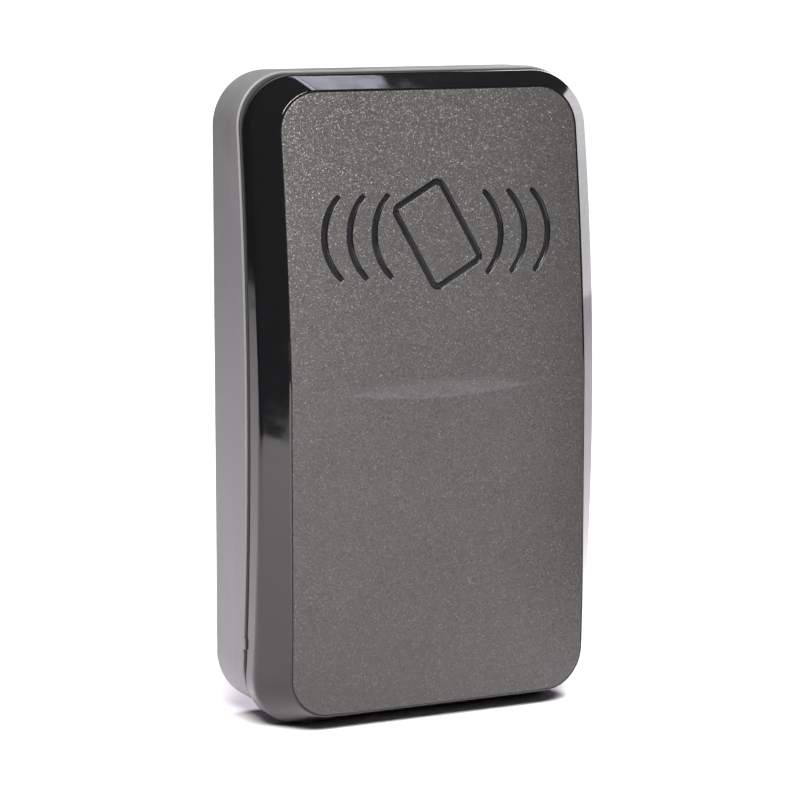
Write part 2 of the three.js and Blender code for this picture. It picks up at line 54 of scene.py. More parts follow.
# each lamp's name, the x and y of its left front corner, its size in x and y, its radiance, its colour, and
# whether the gloss shows it
LAMPS = (
    ("front_softbox", -660, -1050, 800, 600, 34, WARM, True),
    ("back_tube_1", 235, 200, 165, 190, 4.5, COOL, True),
    ("back_tube_2", 250, 410, 150, 235, 3.5, COOL, True),
    ("back_softbox", 330, 120, 380, 580, 17, NEUTRAL, False),
)
SEEN_ROOM = 1.3
ROOM_GLOW = (0.03, 0.03, 0.032, 1)
WHITE_CARD_FOOT = ((420, 720), (1050, 150))  # both ends, in x and y
WHITE_CARD_TOP = 430
WHITE_CARD_GLOW = 1.5
BLACK_CARD_FOOT = ((52, -36), (170, -9))
BLACK_CARD_TOP = 420
CAMERA_TARGET = (3.38, 12.1, 56.69)
CAMERA_DISTANCE = 589.86
CAMERA_AZIMUTH = -26.689
CAMERA_ELEVATION = 8.441
CAMERA_LENS = 139.5
SENSOR_WIDTH = 36


def add_node(tree, kind, inputs=None, **settings):
    """Adds one shader node, sets its properties, and fills or links its inputs by name or number."""
    node = tree.nodes.new("ShaderNode" + kind)
    for key, value in settings.items():
        setattr(node, key, value)
    for key, value in (inputs or {}).items():
        socket = node.inputs[key]
        if isinstance(value, bpy.types.NodeSocket):
            tree.links.new(value, socket)
        else:
            socket.default_value = value
    return node


def feed(tree, sockets, sources):
    """Links each named socket to its source."""
    for key, source in sources.items():
        tree.links.new(source, sockets[key])


def place_of(tree):
    """Place in the object's own space, in metres."""
    return add_node(tree, "TexCoord").outputs["Object"]


def noise(tree, place, scale, detail=2.0, **more):
    """Noise between 0 and 1."""
    return add_node(tree, "TexNoise", {"Vector": place, "Scale": scale, "Detail": detail, **more}).outputs[0]


def mixed(tree, factor, first, second):
    """Colour between two colours: the first at factor 0, the second at 1."""
    return add_node(tree, "Mix", {"Factor": factor, 6: first, 7: second}, data_type="RGBA").outputs[2]


def new_material(name, shader_values):
    """Makes a material with one Principled shader and returns it with its node tree and shader node."""
    material = bpy.data.materials.new(name)
    material.use_nodes = True
    tree = material.node_tree
    tree.nodes.clear()
    shader = add_node(tree, "BsdfPrincipled", shader_values)
    add_node(tree, "OutputMaterial", {"Surface": shader.outputs[0]})
    return material, tree, shader


def new_object(name, points, faces, material):
    """Puts points in millimetres and rows of point numbers into a mesh object that sits at the origin."""
    mesh = bpy.data.meshes.new(name)
    mesh.from_pydata((np.asarray(points, float) * MM).tolist(), [], faces)
    piece = bpy.data.objects.new(name, mesh)
    scene.collection.objects.link(piece)
    mesh.materials.append(material)
    return piece


def clouded(name, socket, scale, first, second, **shader_values):
    """Material whose colour or glow drifts between two tones."""
    material, tree, shader = new_material(name, {"Roughness": 0.9, **shader_values})
    feed(tree, shader.inputs, {socket: mixed(tree, noise(tree, place_of(tree), scale), first, second)})
    return material


table_paint = clouded("table_top", "Base Color", 6.0, TABLE_COLOUR, [0.985 * c for c in TABLE_COLOUR[:3]] + [1],
                      **{"Specular IOR Level": 0.1})
table = new_object("table_top", [
    (TABLE_LEFT, TABLE_FRONT, 0), (TABLE_RIGHT, TABLE_FRONT, 0),
    (TABLE_RIGHT, TABLE_BACK, 0), (TABLE_LEFT, TABLE_BACK, 0)], [(0, 1, 2, 3)], table_paint)

# flat lamps that face down and are equally bright all over
for name, left, front, length, width, radiance, colour, glossy in LAMPS:
    lamp = bpy.data.lights.new(name, "AREA")
    lamp.shape = "RECTANGLE"
    lamp.size = length * MM
    lamp.size_y = width * MM
    lamp.energy = radiance * math.pi * lamp.size * lamp.size_y
    lamp.color = colour
    holder = bpy.data.objects.new(name, lamp)
    holder.location = ((left + length / 2) * MM, (front + width / 2) * MM, LAMP_HEIGHT * MM)
    holder.visible_glossy = glossy
    scene.collection.objects.link(holder)

# two cards that stand on edge, hidden from the camera and without shadows
card_white = clouded("card_white", "Emission Color", 5.0, (0.97, 0.95, 1.02, 1), (1, 0.98, 1.04, 1),
                     **{"Emission Strength": WHITE_CARD_GLOW})
card_black = clouded("flag_black", "Base Color", 800.0, (0.004, 0.004, 0.004, 1), (0.006, 0.006, 0.006, 1))
for name, (near, far), low, high, dims_soft_light, paint in (
        ("white_card", WHITE_CARD_FOOT, 0.5, WHITE_CARD_TOP, False, card_white),
        ("black_card", BLACK_CARD_FOOT, 1, BLACK_CARD_TOP, True, card_black)):
    card = new_object(name, [(*near, low), (*far, low), (*far, high), (*near, high)], [(0, 1, 2, 3)], paint)
    card.visible_camera = card.visible_shadow = card.visible_transmission = False
    card.visible_diffuse = dims_soft_light

world = bpy.data.worlds.new("dim_room")
world.use_nodes = True
tree = world.node_tree
tree.nodes.clear()
seen = add_node(tree, "Background", {"Color": (1, 1, 1, 1), "Strength": SEEN_ROOM})
glow = add_node(tree, "Background", {"Color": ROOM_GLOW, "Strength": 1.0})
direct = add_node(tree, "LightPath").outputs["Is Camera Ray"]
sky = add_node(tree, "MixShader", {0: direct, 1: glow.outputs[0], 2: seen.outputs[0]})
add_node(tree, "OutputWorld", {"Surface": sky.outputs[0]})
scene.world = world

azimuth, elevation = math.radians(CAMERA_AZIMUTH), math.radians(CAMERA_ELEVATION)
backwards = Vector((
    math.sin(azimuth) * math.cos(elevation), -math.cos(azimuth) * math.cos(elevation), math.sin(elevation)))
lens = bpy.data.cameras.new("camera")
lens.lens = CAMERA_LENS
lens.sensor_width = SENSOR_WIDTH
lens.clip_start = 0.01
lens.clip_end = 50
camera = bpy.data.objects.new("camera", lens)
camera.location = (Vector(CAMERA_TARGET) + backwards * CAMERA_DISTANCE) * MM
camera.rotation_euler = backwards.to_track_quat("Z", "Y").to_euler()
scene.collection.objects.link(camera)
scene.camera = camera
scene.view_settings.view_transform = "Standard"

# ---- Rear shell ----
# A tray moulded in grey plastic with a fine spark-eroded grain. It is screwed to the wall through a keyhole
# and two slots, and carries the board on four posts.
CASE_WIDTH = 70.4
CASE_HEIGHT = 120.0
CASE_DEPTH = 24.2
CASE_CORNER = 10.3
REAR_BOTTOM = 1.8
REAR_WALL = 2.0
CREASE_DEPTH = 9.0
FLOOR = REAR_WALL - 0.3  # where the posts and ribs are sunk into the tray
THROUGH = (-1.0, REAR_WALL + 2)  # a cutter's ends behind and in front of the tray's floor
SEAM_GAP = 0.7
SEAM_DEPTHS = (10.85, 14.27, 10.16)  # at the case's bottom, middle and top
RIB_BOTTOM, RIB_TOP = 14.7, 16.7
POST_X = 23.5
POST_HEIGHTS = (37.5, 100.5)
POST_RADIUS = 3
POST_FRONT = 11.0
PILOT_RADIUS = 1.2
INLET_HEIGHT = 21.0
INLET_RADIUS = 6
KEYHOLE_HEIGHT = 108.5
KEYHOLE_RADIUS = 4
SLOT_X = 20.0
SLOT_HEIGHT = 13.0
SLOT_TRAVEL = 4.0
SLOT_WIDTH = 4.6
SLOT_CORNER = 2.29
LOCK_DEPTH = 6.5
LOCK_HOLE_RADIUS = 1.8
EJECTOR_MARKS = ((-24, 30), (24, 30), (-24, 68), (24, 68), (-12, 96), (12, 96))
SHARP_ANGLE = math.radians(32)


def depth_to_y(depth):
    """Distance out from the wall, as a y coordinate."""
    return CASE_DEPTH / 2 - depth


def arch(ends, height):
    """Parabola over the case's height, through the values at its bottom, middle and top."""
    bottom, middle, top = ends
    t = (height - REAR_BOTTOM) / (CASE_HEIGHT - REAR_BOTTOM)
    return bottom + (top - bottom) * t + 4 * (middle - (bottom + top) / 2) * t * (1 - t)


def seam_depth(height):
    """Depth of the rear shell's front edge."""
    return arch(SEAM_DEPTHS, height)


def rounded_outline(width, bottom, top, radius, corner_steps=24, side_shares=None, across=1, x=0.0):
    """Rounded rectangle in x and z: a quarter circle, the side cut at the given shares, a quarter circle, then
    the top edge, the mirrored left side and the bottom edge. Returns its points and outward unit normals."""
    shares = np.linspace(0, 1, 41)[1:-1] if side_shares is None else side_shares
    turn = np.linspace(-math.pi / 2, 0, corner_steps + 1)
    low_z, high_z = bottom + radius, top - radius
    reach = width / 2 - radius
    normals = np.concatenate([
        np.stack([np.cos(turn), np.sin(turn)], 1),
        np.tile([1.0, 0.0], (len(shares), 1)),
        np.stack([np.cos(turn + math.pi / 2), np.sin(turn + math.pi / 2)], 1)])
    centres = np.concatenate([
        np.tile([reach, low_z], (len(turn), 1)),
        np.stack([np.full(len(shares), reach), low_z + (high_z - low_z) * shares], 1),
        np.tile([reach, high_z], (len(turn), 1))])
    right = centres + radius * normals
    mirror = np.array([-1.0, 1.0])
    edge = np.linspace(1, -1, across + 1)[1:-1, None] * [reach, 0]
    up = np.tile([0.0, 1.0], (len(edge), 1))
    points = np.concatenate([right, edge + [0, top], right[::-1] * mirror, edge[::-1] + [0, bottom]])
    return points + [x, 0], np.concatenate([normals, up, normals[::-1] * mirror, -up])


def ring(outline, inset, depth, fall=None):
    """Moves an outline inwards along its normals and sets it at a depth that may depend on the height, less a
    fall that depends on x."""
    points, normals = outline
    across, height = (points - inset * normals).T
    at = depth(height) if callable(depth) else depth
    return np.stack([across, depth_to_y(at - (fall(across) if fall else 0)) + 0 * height, height], 1)


def eased(corners, roundings, steps=5):
    """Rounds off a profile whose corners are points or rings of points. A corner with rounding r becomes the
    parabola from r before it to r after it, with one more point just outside either end to keep the flats
    flat. A single rounding serves all corners."""
    t = np.linspace(0, 1, steps + 1)
    made = []
    for k, (corner, rounding) in enumerate(zip(corners, np.broadcast_to(roundings, len(corners)))):
        if not rounding:
            made.append(corner)
            continue
        before = corners[k - 1] - corner
        after = corners[(k + 1) % len(corners)] - corner
        before = before / np.linalg.norm(before, axis=-1, keepdims=True) * rounding
        after = after / np.linalg.norm(after, axis=-1, keepdims=True) * rounding
        made.append(corner + 1.3 * before)
        made.extend(corner + (1 - s) ** 2 * before + s ** 2 * after for s in t)
        made.append(corner + 1.3 * after)
    return np.array(made)


def band(first, second):
    """Quads between two closed rows of point numbers."""
    return np.stack([first, np.roll(first, -1), np.roll(second, -1), second], 1)


def numbered(rows, columns, start=0):
    """Point numbers of a grid, and the bands between its neighbouring rows."""
    numbers = start + np.arange(rows * columns).reshape(rows, columns)
    return numbers, [band(a, b) for a, b in zip(numbers, numbers[1:])]


def skinned(rings, closed=False):
    """Quads between neighbouring rings. A closed skin joins the last ring to the first; an open one is capped
    at both ends with strips straight across, each between a point and its mirrored partner."""
    count = rings.shape[1]
    rows, blocks = numbered(len(rings), count)
    if closed:
        blocks.append(band(rows[-1], rows[0]))
    else:
        i = np.arange(count // 2 - 1)
        blocks.append(np.stack([i + 1, i, count - 1 - i, count - 2 - i], 1))
        blocks.append(rows[-1][np.stack([i, i + 1, count - 2 - i, count - 1 - i], 1)])
    return rings.reshape(-1, 3), np.concatenate(blocks).tolist()


def closed_body(name, skin, material):
    """Mesh object from a skin, with its seams and poles merged and its faces turned outwards."""
    piece = new_object(name, *skin, material)
    work = bmesh.new()
    work.from_mesh(piece.data)
    bmesh.ops.remove_doubles(work, verts=work.verts, dist=2e-7)
    bmesh.ops.dissolve_degenerate(work, edges=work.edges, dist=1e-8)
    if work.calc_volume(signed=True) < 0:
        bmesh.ops.reverse_faces(work, faces=work.faces)
    work.to_mesh(piece.data)
    work.free()
    return piece


def shaped(piece, joins=(), cuts=()):
    """Joins closed bodies to a piece, cuts others from it, and keeps the result as its plain mesh."""
    for tools, operation in ((joins, "UNION"), (cuts, "DIFFERENCE")):
        for tool in tools:
            step = piece.modifiers.new(tool.name, "BOOLEAN")
            step.operation = operation
            step.solver = "MANIFOLD"
            step.material_mode = "TRANSFER"
            step.object = tool
    result = bpy.data.meshes.new_from_object(piece.evaluated_get(bpy.context.evaluated_depsgraph_get()))
    piece.modifiers.clear()
    piece.data = result
    for tool in (*joins, *cuts):
        bpy.data.objects.remove(tool)


def fitted(piece, body, slot, *stands_for, angle=SHARP_ANGLE):
    """Smooths a piece except at edges sharper than the angle, lets it ride on its body, and hides the CAD
    nodes it stands for. The slot is not used."""
    piece.data.shade_smooth()
    piece.data.set_sharp_from_angle(angle=angle)
    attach(piece, body)
    if stands_for:
        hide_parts(*stands_for)


def plate(name, x, width, bottom, top, corner, back, front, easing, material, corner_steps=6):
    """Flat body with rounded corners between two depths, its front edge eased."""
    outline = rounded_outline(width, bottom, top, corner, corner_steps, np.empty(0), 1, x)
    flat = [ring(outline, 0, back), ring(outline, 0, front), ring(outline, 1.5 * easing, front)]
    return closed_body(name, skinned(eased(flat, (0, easing, 0), 3)), material)


def spun(name, x, z, radius, along, material, upright_depth):
    """Closed body of revolution from a grid of radii and one of positions along an axis that runs out from the
    wall, or along an upright one at the given depth. A profile that stays off the axis closes on itself."""
    angle = np.linspace(0, 2 * math.pi, radius.shape[1], endpoint=False)
    across, off = x + radius * np.cos(angle), radius * np.sin(angle)
    if upright_depth is None:
        points = np.stack([across, depth_to_y(along), z + off], 2)
    else:
        points = np.stack([across, depth_to_y(upright_depth) + off, along], 2)
    rows, blocks = numbered(*radius.shape)
    if radius[0, 0] > 0 and radius[-1, 0] > 0:
        blocks.append(band(rows[-1], rows[0]))
    return closed_body(name, (points.reshape(-1, 3), np.concatenate(blocks).tolist()), material)


def turned(name, x, z, profile, roundings, material, steps=40, upright_depth=None):
    """Surface of revolution from an eased profile of radius and position along the axis."""
    radius, along = (np.repeat(v[:, None], steps, 1) for v in eased(np.array(profile, float), roundings, 4).T)
    return spun(name, x, z, radius, along, material, upright_depth)


def rod(name, x, z, radius, back, front, material, steps=40):
    """Plain round cutter or post running out from the wall."""
    return turned(name, x, z, [(0, back), (radius, back), (radius, front), (0, front)], 0, material, steps)


def calc(tree, operation, *values):
    """Result of one operation on numbers."""
    return add_node(tree, "Math", dict(enumerate(values)), operation=operation).outputs[0]


def vectors(tree, operation, *values):
    """Result of one operation on vectors."""
    return add_node(tree, "VectorMath", dict(enumerate(values)), operation=operation).outputs[0]


def scaled(tree, colour, factor):
    """Colour or vector times a number."""
    return add_node(tree, "VectorMath", {0: colour, 3: factor}, operation="SCALE").outputs[0]


def remap(tree, value, low, high, start, end):
    """Carries a value from one range to another, held at both ends."""
    return add_node(tree, "MapRange", {0: value, 1: low, 2: high, 3: start, 4: end}).outputs[0]


def bumped(tree, height, relief, **more):
    """Normal of a relief whose height is given in millimetres."""
    values = {"Height": height, "Strength": 1.0, "Distance": relief * MM, **more}
    return add_node(tree, "Bump", values).outputs[0]


def new_group(name, inputs, outputs):
    """Makes a shader node group and returns it with the sockets inside it: those it is given, and its
    results."""
    group = bpy.data.node_groups.new(name, "ShaderNodeTree")
    for way, sockets in (("INPUT", inputs), ("OUTPUT", outputs)):
        for label, kind in sockets.items():
            group.interface.new_socket(label, in_out=way, socket_type="NodeSocket" + kind)
    return group, group.nodes.new("NodeGroupInput").outputs, group.nodes.new("NodeGroupOutput").inputs


def surfaced(name, group, values, relief, shader_values):
    """Material whose gloss and relief, and its colour if it has one, come from a group."""
    material, tree, shader = new_material(name, shader_values)
    surface = add_node(tree, "Group", {"Place": place_of(tree), **values}, node_tree=group).outputs
    feed(tree, shader.inputs, {
        "Roughness": surface["Roughness"], "Normal": bumped(tree, surface["Height"], relief)})
    if "Colour" in surface:
        feed(tree, shader.inputs, {"Base Color": surface["Colour"]})
    return material


# Moulded plastic: a fine grain whose size is given in metres, a slow drift of colour and gloss, and faint rub
# marks that run upright.
moulded_grain, given, result = new_group(
    "moulded_grain", {"Place": "Vector", "Grain": "Float", "Colour": "Color", "Roughness": "Float"},
    {"Colour": "Color", "Roughness": "Float", "Height": "Float"})
tree = moulded_grain
per_grain = calc(tree, "DIVIDE", 1.0, given["Grain"])
pits = add_node(tree, "TexVoronoi", {"Vector": given["Place"], "Scale": per_grain}, feature="SMOOTH_F1").outputs[0]
fine = noise(tree, given["Place"], per_grain, 3.0, Roughness=0.6)
drift = noise(tree, given["Place"], 70.0, 4.0)
streak = noise(tree, vectors(tree, "MULTIPLY", given["Place"], (900, 900, 60)), 1.0)
rubbed = calc(tree, "MULTIPLY", remap(tree, streak, 0.6, 0.75, 0.0, 1.0), 0.05)
tone = calc(tree, "MULTIPLY", remap(tree, drift, 0.3, 0.7, 0.94, 1.06), remap(tree, fine, 0.25, 0.75, 0.9, 1.1))
rougher = calc(tree, "ADD", remap(tree, drift, 0.3, 0.7, -0.05, 0.05), rubbed)
feed(tree, result, {
    "Colour": scaled(tree, given["Colour"], tone),
    "Roughness": calc(tree, "ADD", given["Roughness"], rougher),
    "Height": calc(tree, "ADD", pits, fine)})


def moulded(name, colour, roughness, grain, relief):
    """Material of moulded plastic or rubber. Grain and relief are the grain's size and height in
    millimetres."""
    return surfaced(name, moulded_grain, {
        "Grain": grain * MM, "Colour": (*colour, 1), "Roughness": roughness}, relief, {})


rear_grey = moulded("rear_grey", (0.143, 0.142, 0.148), 0.42, 0.16, 0.012)
rear_outline = rounded_outline(CASE_WIDTH, REAR_BOTTOM, CASE_HEIGHT, CASE_CORNER)
rear_shell = closed_body("rear_shell_moulding", skinned(eased([
    ring(rear_outline, 7, REAR_WALL),
    ring(rear_outline, REAR_WALL, REAR_WALL),
    ring(rear_outline, REAR_WALL, seam_depth),
    ring(rear_outline, 0.1, seam_depth),
    ring(rear_outline, 0, CREASE_DEPTH),
    ring(rear_outline, 0.12, 0),
    ring(rear_outline, 7, 0),
], (0, 0.9, 0.15, 0.22, 0.4, 0.7, 0))), rear_grey)
joins, cuts = [], []
for side in (-1, 1):
    for height in POST_HEIGHTS:
        joins.append(turned("post", side * POST_X, height, [
            (0, FLOOR), (POST_RADIUS + 0.9, FLOOR), (POST_RADIUS, REAR_WALL + 1), (POST_RADIUS, POST_FRONT),
            (0, POST_FRONT)], (0, 0, 0.4, 0.25, 0), rear_grey, 32))
        cuts.append(rod("pilot_hole", side * POST_X, height, PILOT_RADIUS, 4.1, POST_FRONT + 1, rear_grey, 24))
    joins.append(plate("rib", side * POST_X, 1.2, POST_HEIGHTS[0] + 2, POST_HEIGHTS[1] - 2, 0.4, FLOOR, 6, 0.2,
                       rear_grey))
    joins.append(plate("seam_rib", side * (CASE_WIDTH / 2 - 0.42), 0.5, RIB_BOTTOM, RIB_TOP, 0.14, 9.4,
                       seam_depth(RIB_BOTTOM) + SEAM_GAP - 0.15, 0.08, rear_grey))
    cuts.append(plate("wall_slot", side * SLOT_X, SLOT_TRAVEL + SLOT_WIDTH, SLOT_HEIGHT - SLOT_WIDTH / 2,
                      SLOT_HEIGHT + SLOT_WIDTH / 2, SLOT_CORNER, *THROUGH, 0.1, rear_grey, 16))
joins += [plate("screw_boss", 0, 10, REAR_BOTTOM + 0.4, 5.2, 0.4, FLOOR, 10.2, 0.3, rear_grey),
          plate("nut_bracket", 0, 10.4, 8.4, 13, 0.5, FLOOR, 10.2, 0.3, rear_grey)]
cuts += [
    plate("nut_pocket", 0, 6.2, 9.4, 12, 0.2, 3.4, 11.2, 0.1, rear_grey),
    turned("screw_hole", 0, 0, [(0, -1), (LOCK_HOLE_RADIUS, -1), (LOCK_HOLE_RADIUS, 14), (0, 14)], 0, rear_grey,
           32, LOCK_DEPTH),
    rod("cable_inlet", 0, INLET_HEIGHT, INLET_RADIUS, *THROUGH, rear_grey, 48),
    rod("keyhole", 0, KEYHOLE_HEIGHT, KEYHOLE_RADIUS, *THROUGH, rear_grey, 48),
    plate("keyhole_slot", 0, SLOT_WIDTH, KEYHOLE_HEIGHT - 2, KEYHOLE_HEIGHT + 7.3, SLOT_CORNER, *THROUGH, 0.1,
          rear_grey, 16),
    *(rod("ejector_mark", *mark, 2.4, -1, 0.12, rear_grey, 48) for mark in EJECTOR_MARKS)]
shaped(rear_shell, joins, cuts)
fitted(rear_shell, "case", "rear_grey", "rear_shell")

# ---- Seal ring ----
# A soft black rubber ring lying in the seam between the two shells. Its outer bead fills the gap to within half
# a millimetre of the rear shell's edge.
seal_rubber = moulded("seal_rubber", (0.012, 0.012, 0.013), 0.75, 0.3, 0.01)
SEAL_OUTER = 0.45
SEAL_INNER = 1.9
SEAL_CLEARANCE = 0.1


def seal_back(height):
    """Depth of the seal's rear side."""
    return seam_depth(height) + SEAL_CLEARANCE


def seal_front(height):
    """Depth of the seal's front side."""
    return seam_depth(height) + SEAM_GAP - SEAL_CLEARANCE


seal = closed_body("seal_ring_rubber", skinned(eased([
    ring(rear_outline, SEAL_OUTER, seal_back),
    ring(rear_outline, SEAL_OUTER, seal_front),
    ring(rear_outline, SEAL_INNER, seal_front),
    ring(rear_outline, SEAL_INNER, seal_back),
], 0.17, 4), closed=True), seal_rubber)
fitted(seal, "case", "seal_rubber", "seal_ring")

# ---- Front bezel ----
# The cover's frame, moulded in black plastic with a polished surface: side walls, a wide chamfer, a seat for
# the panel, a skirt that reaches inside the rear shell, and the lug that the lock screw holds.
LEDGE = 0.65
RIM_DEPTHS = (14.84, 19.38, 13.83)
FRONT_WALL = 2.0
FRONT_FLOOR = 3.8
PANEL_WIDTH = 59.9
PANEL_BOTTOM = 3.4
PANEL_TOP = 116.4
PANEL_CORNER = 7.3
PANEL_THICKNESS = 1.6
PANEL_GAP = 0.08
PANEL_PROUD = 0.2
SEAT_DROP = 1.95
FLANGE_DROP = 3.45
FLANGE_WIDTH = 3.2
FOLD_HEIGHT = 63.3
FOLD_SLOPE = 0.048
FOLD_CURVE = 0.00087
FOOT_HEIGHT = 25.4
CROWN_FLAT = 15.0  # half width of the panel's flat middle
CROWN_CURVE = 0.0030
SKIRT_BOTTOM = 16.0
SKIRT_OUTER, SKIRT_INNER = 2.35, 3.5
SKIRT_REAR_DROP, SKIRT_FRONT_DROP = 1.6, -3.1
LUG_BOTTOM, LUG_TOP = 5.6, 8


def rim_depth(height):
    """Depth of the edge between the bezel's side wall and its chamfer."""
    return arch(RIM_DEPTHS, height)


def panel_depth(height):
    """Depth of the panel's face: flat in the middle, leaning back in a parabola above the fold line, and easing
    back by a millimetre over the lowest part."""
    above = np.maximum(height - FOLD_HEIGHT, 0)
    below = np.maximum(FOOT_HEIGHT - height, 0) / FOOT_HEIGHT
    return CASE_DEPTH - FOLD_SLOPE * above - FOLD_CURVE * above ** 2 - below ** 2


def crown(x):
    """How far the panel and its seat fall back towards either side: a parabola outside the flat middle."""
    return CROWN_CURVE * np.maximum(np.abs(x) - CROWN_FLAT, 0) ** 2


def lowered(depth, drop):
    """The same depth function, set back by a drop."""
    return lambda height: depth(height) - drop


# Polished black plastic: very slow waves from the mould, and a haze of fine dust and wipe marks in the gloss.
polished_waves, given, result = new_group(
    "polished_waves", {"Place": "Vector", "Roughness": "Float"}, {"Roughness": "Float", "Height": "Float"})
tree = polished_waves
ripple = calc(tree, "MULTIPLY", noise(tree, given["Place"], 420.0), 0.03)
wiped = remap(tree, noise(tree, given["Place"], 240.0, 6.0), 0.45, 0.8, 0.0, 0.09)
feed(tree, result, {
    "Roughness": calc(tree, "ADD", given["Roughness"], wiped),
    "Height": calc(tree, "ADD", noise(tree, given["Place"], 85.0, 1.0), ripple)})


def polished(name, colour, roughness, wave, **shader_values):
    """Material of polished plastic. Wave is the height of the mould's slow waves in millimetres."""
    return surfaced(name, polished_waves, {"Roughness": roughness}, wave, {
        "Base Color": (*colour, 1), **shader_values})


gloss_black = polished("gloss_black", (0.004, 0.004, 0.0045), 0.06, 0.12, IOR=1.55)
front_outline = rounded_outline(CASE_WIDTH - 2 * LEDGE, 0, CASE_HEIGHT - LEDGE, CASE_CORNER)
hollow_outline = rounded_outline(
    CASE_WIDTH - 2 * (LEDGE + FRONT_WALL), FRONT_FLOOR, CASE_HEIGHT - LEDGE - FRONT_WALL,
    CASE_CORNER - FRONT_WALL)
panel_edge = rounded_outline(PANEL_WIDTH, PANEL_BOTTOM, PANEL_TOP, PANEL_CORNER)
bezel = closed_body("front_bezel_moulding", skinned(eased([
    ring(front_outline, 0, lowered(seam_depth, -SEAM_GAP)),
    ring(front_outline, 0, rim_depth),
    ring(panel_edge, -0.4, lowered(panel_depth, PANEL_PROUD), crown),
    ring(panel_edge, -PANEL_GAP, lowered(panel_depth, PANEL_PROUD), crown),
    ring(panel_edge, -PANEL_GAP, lowered(panel_depth, SEAT_DROP)),
    ring(panel_edge, FLANGE_WIDTH, lowered(panel_depth, SEAT_DROP)),
    ring(panel_edge, FLANGE_WIDTH, lowered(panel_depth, FLANGE_DROP)),
    ring(panel_edge, 0.6, lowered(panel_depth, FLANGE_DROP)),
    ring(hollow_outline, 0, lowered(rim_depth, 1)),
    ring(hollow_outline, 0, lowered(seam_depth, -SEAM_GAP)),
], (0.2, 0.8, 0.09, 0.05, 0.1, 0.2, 0.2, 0.3, 0.5, 0.2), 7), closed=True), gloss_black)

# the skirt starts at a fixed height on one side, runs over the top and ends at the same height on the other
skirt_points, skirt_normals = (part[:len(part) // 2] for part in rear_outline)
kept = skirt_points[:, 1] > SKIRT_BOTTOM + 0.2
right_side = np.concatenate([[[CASE_WIDTH / 2, SKIRT_BOTTOM]], skirt_points[kept]])
right_normals = np.concatenate([[[1.0, 0.0]], skirt_normals[kept]])
skirt_path = [np.concatenate([part, part[::-1] * [-1.0, 1.0]]) for part in (right_side, right_normals)]
skirt_rings = eased([ring(skirt_path, inset, lowered(seam_depth, drop)) for inset, drop in (
    (SKIRT_OUTER, SKIRT_REAR_DROP), (SKIRT_OUTER, SKIRT_FRONT_DROP),
    (SKIRT_INNER, SKIRT_FRONT_DROP), (SKIRT_INNER, SKIRT_REAR_DROP))], (0.25, 0.1, 0.1, 0.25), 3)
numbers = numbered(*skirt_rings.shape[:2])[0]
following = np.roll(numbers, -1, axis=0)
walls = np.stack([numbers[:, :-1], numbers[:, 1:], following[:, 1:], following[:, :-1]], 2).reshape(-1, 4)
skirt = closed_body("skirt", (
    skirt_rings.reshape(-1, 3), walls.tolist() + [numbers[:, 0].tolist(), numbers[::-1, -1].tolist()]),
    gloss_black)
shaped(bezel, [
    skirt,
    plate("lug_root", 0, 12, FRONT_FLOOR - 0.4, LUG_TOP, 0.4, 12.2, 15.4, 0.2, gloss_black),
    plate("lug", 0, 12, LUG_BOTTOM, LUG_TOP, 0.4, 3.2, 15.35, 0.2, gloss_black),
], [
    plate("lug_slot", 0, 2 * LOCK_HOLE_RADIUS, LUG_BOTTOM - 0.5, LUG_TOP + 0.5, 0.02, 2.2, LOCK_DEPTH, 0.01,
          gloss_black),
    turned("lug_hole", 0, 0, [
        (0, LUG_BOTTOM - 0.5), (LOCK_HOLE_RADIUS, LUG_BOTTOM - 0.5), (LOCK_HOLE_RADIUS, LUG_TOP + 0.5),
        (0, LUG_TOP + 0.5)], 0, gloss_black, 32, LOCK_DEPTH),
])
fitted(bezel, "cover", "gloss_black", "front_bezel")

# ---- Front panel ----
# A thin plate painted charcoal with metal flake, bonded into the bezel and falling back a little at its sides.
# A card and its waves are engraved in it down to black plastic, and a lens-shaped facet lies on the fold where
# the upper half starts to lean back.
GROOVE_WIDTH = 1.15
GROOVE_DEPTH = 0.45
GROOVE_LIP = 0.09
CARD_X = -0.1
CARD_HEIGHT = 90.4
CARD_WIDTH = 10.85
CARD_LENGTH = 16.6
CARD_TILT = math.radians(28.3)
CARD_CORNER = 1.2
WAVE_FIRST = 12.9
WAVE_SPACING = 4.97
WAVE_RADIUS = 10.3
WAVE_HALF_ANGLE = math.radians(44.5)
FACET_X = -0.5
FACET_HALF_WIDTH = 20.0
FACET_MIDDLE = 62.1
FACET_HALF_HEIGHT = 1.6
FACET_DIP = 0.17
FACET_FADE = 0.4
PAINT = (0.068, 0.067, 0.066, 1)
# the lighter colour inside the facet's lens is a painted highlight, not a different paint
FACET_PAINTED_HIGHLIGHT = (0.086, 0.085, 0.087, 1)
FLAKE_TILT, FACET_TILT = 0.6, 0.46
CORNER_STEPS = 20
COLUMNS = 110
# heights of the grid's rows between the corners, closer together round the fold
ROW_HEIGHTS = np.concatenate([np.linspace(10.7, 57, 32), np.linspace(57.5, 67.5, 72), np.linspace(68.5, 109.1, 36)])


def facet_dip(x, height):
    """How far the facet lies below the panel's face. Its outline is a lens: a parabola above and one below the
    middle line. Between them the dip grows with the height, and above the lens it fades out."""
    opening = FACET_HALF_HEIGHT * np.maximum(1 - ((x - FACET_X) / FACET_HALF_WIDTH) ** 2, 0)
    low, high = FACET_MIDDLE - opening, FACET_MIDDLE + opening
    climb = np.clip((height - low) / np.maximum(high - low, 1e-6), 0, 1) ** 2
    fade = np.clip(1 - (height - high) / FACET_FADE, 0, 1)
    return FACET_DIP * opening / FACET_HALF_HEIGHT * climb * fade


shares = (ROW_HEIGHTS[1:-1] - ROW_HEIGHTS[0]) / (ROW_HEIGHTS[-1] - ROW_HEIGHTS[0])
panel_outline = rounded_outline(PANEL_WIDTH, PANEL_BOTTOM, PANEL_TOP, PANEL_CORNER, CORNER_STEPS, shares, COLUMNS)


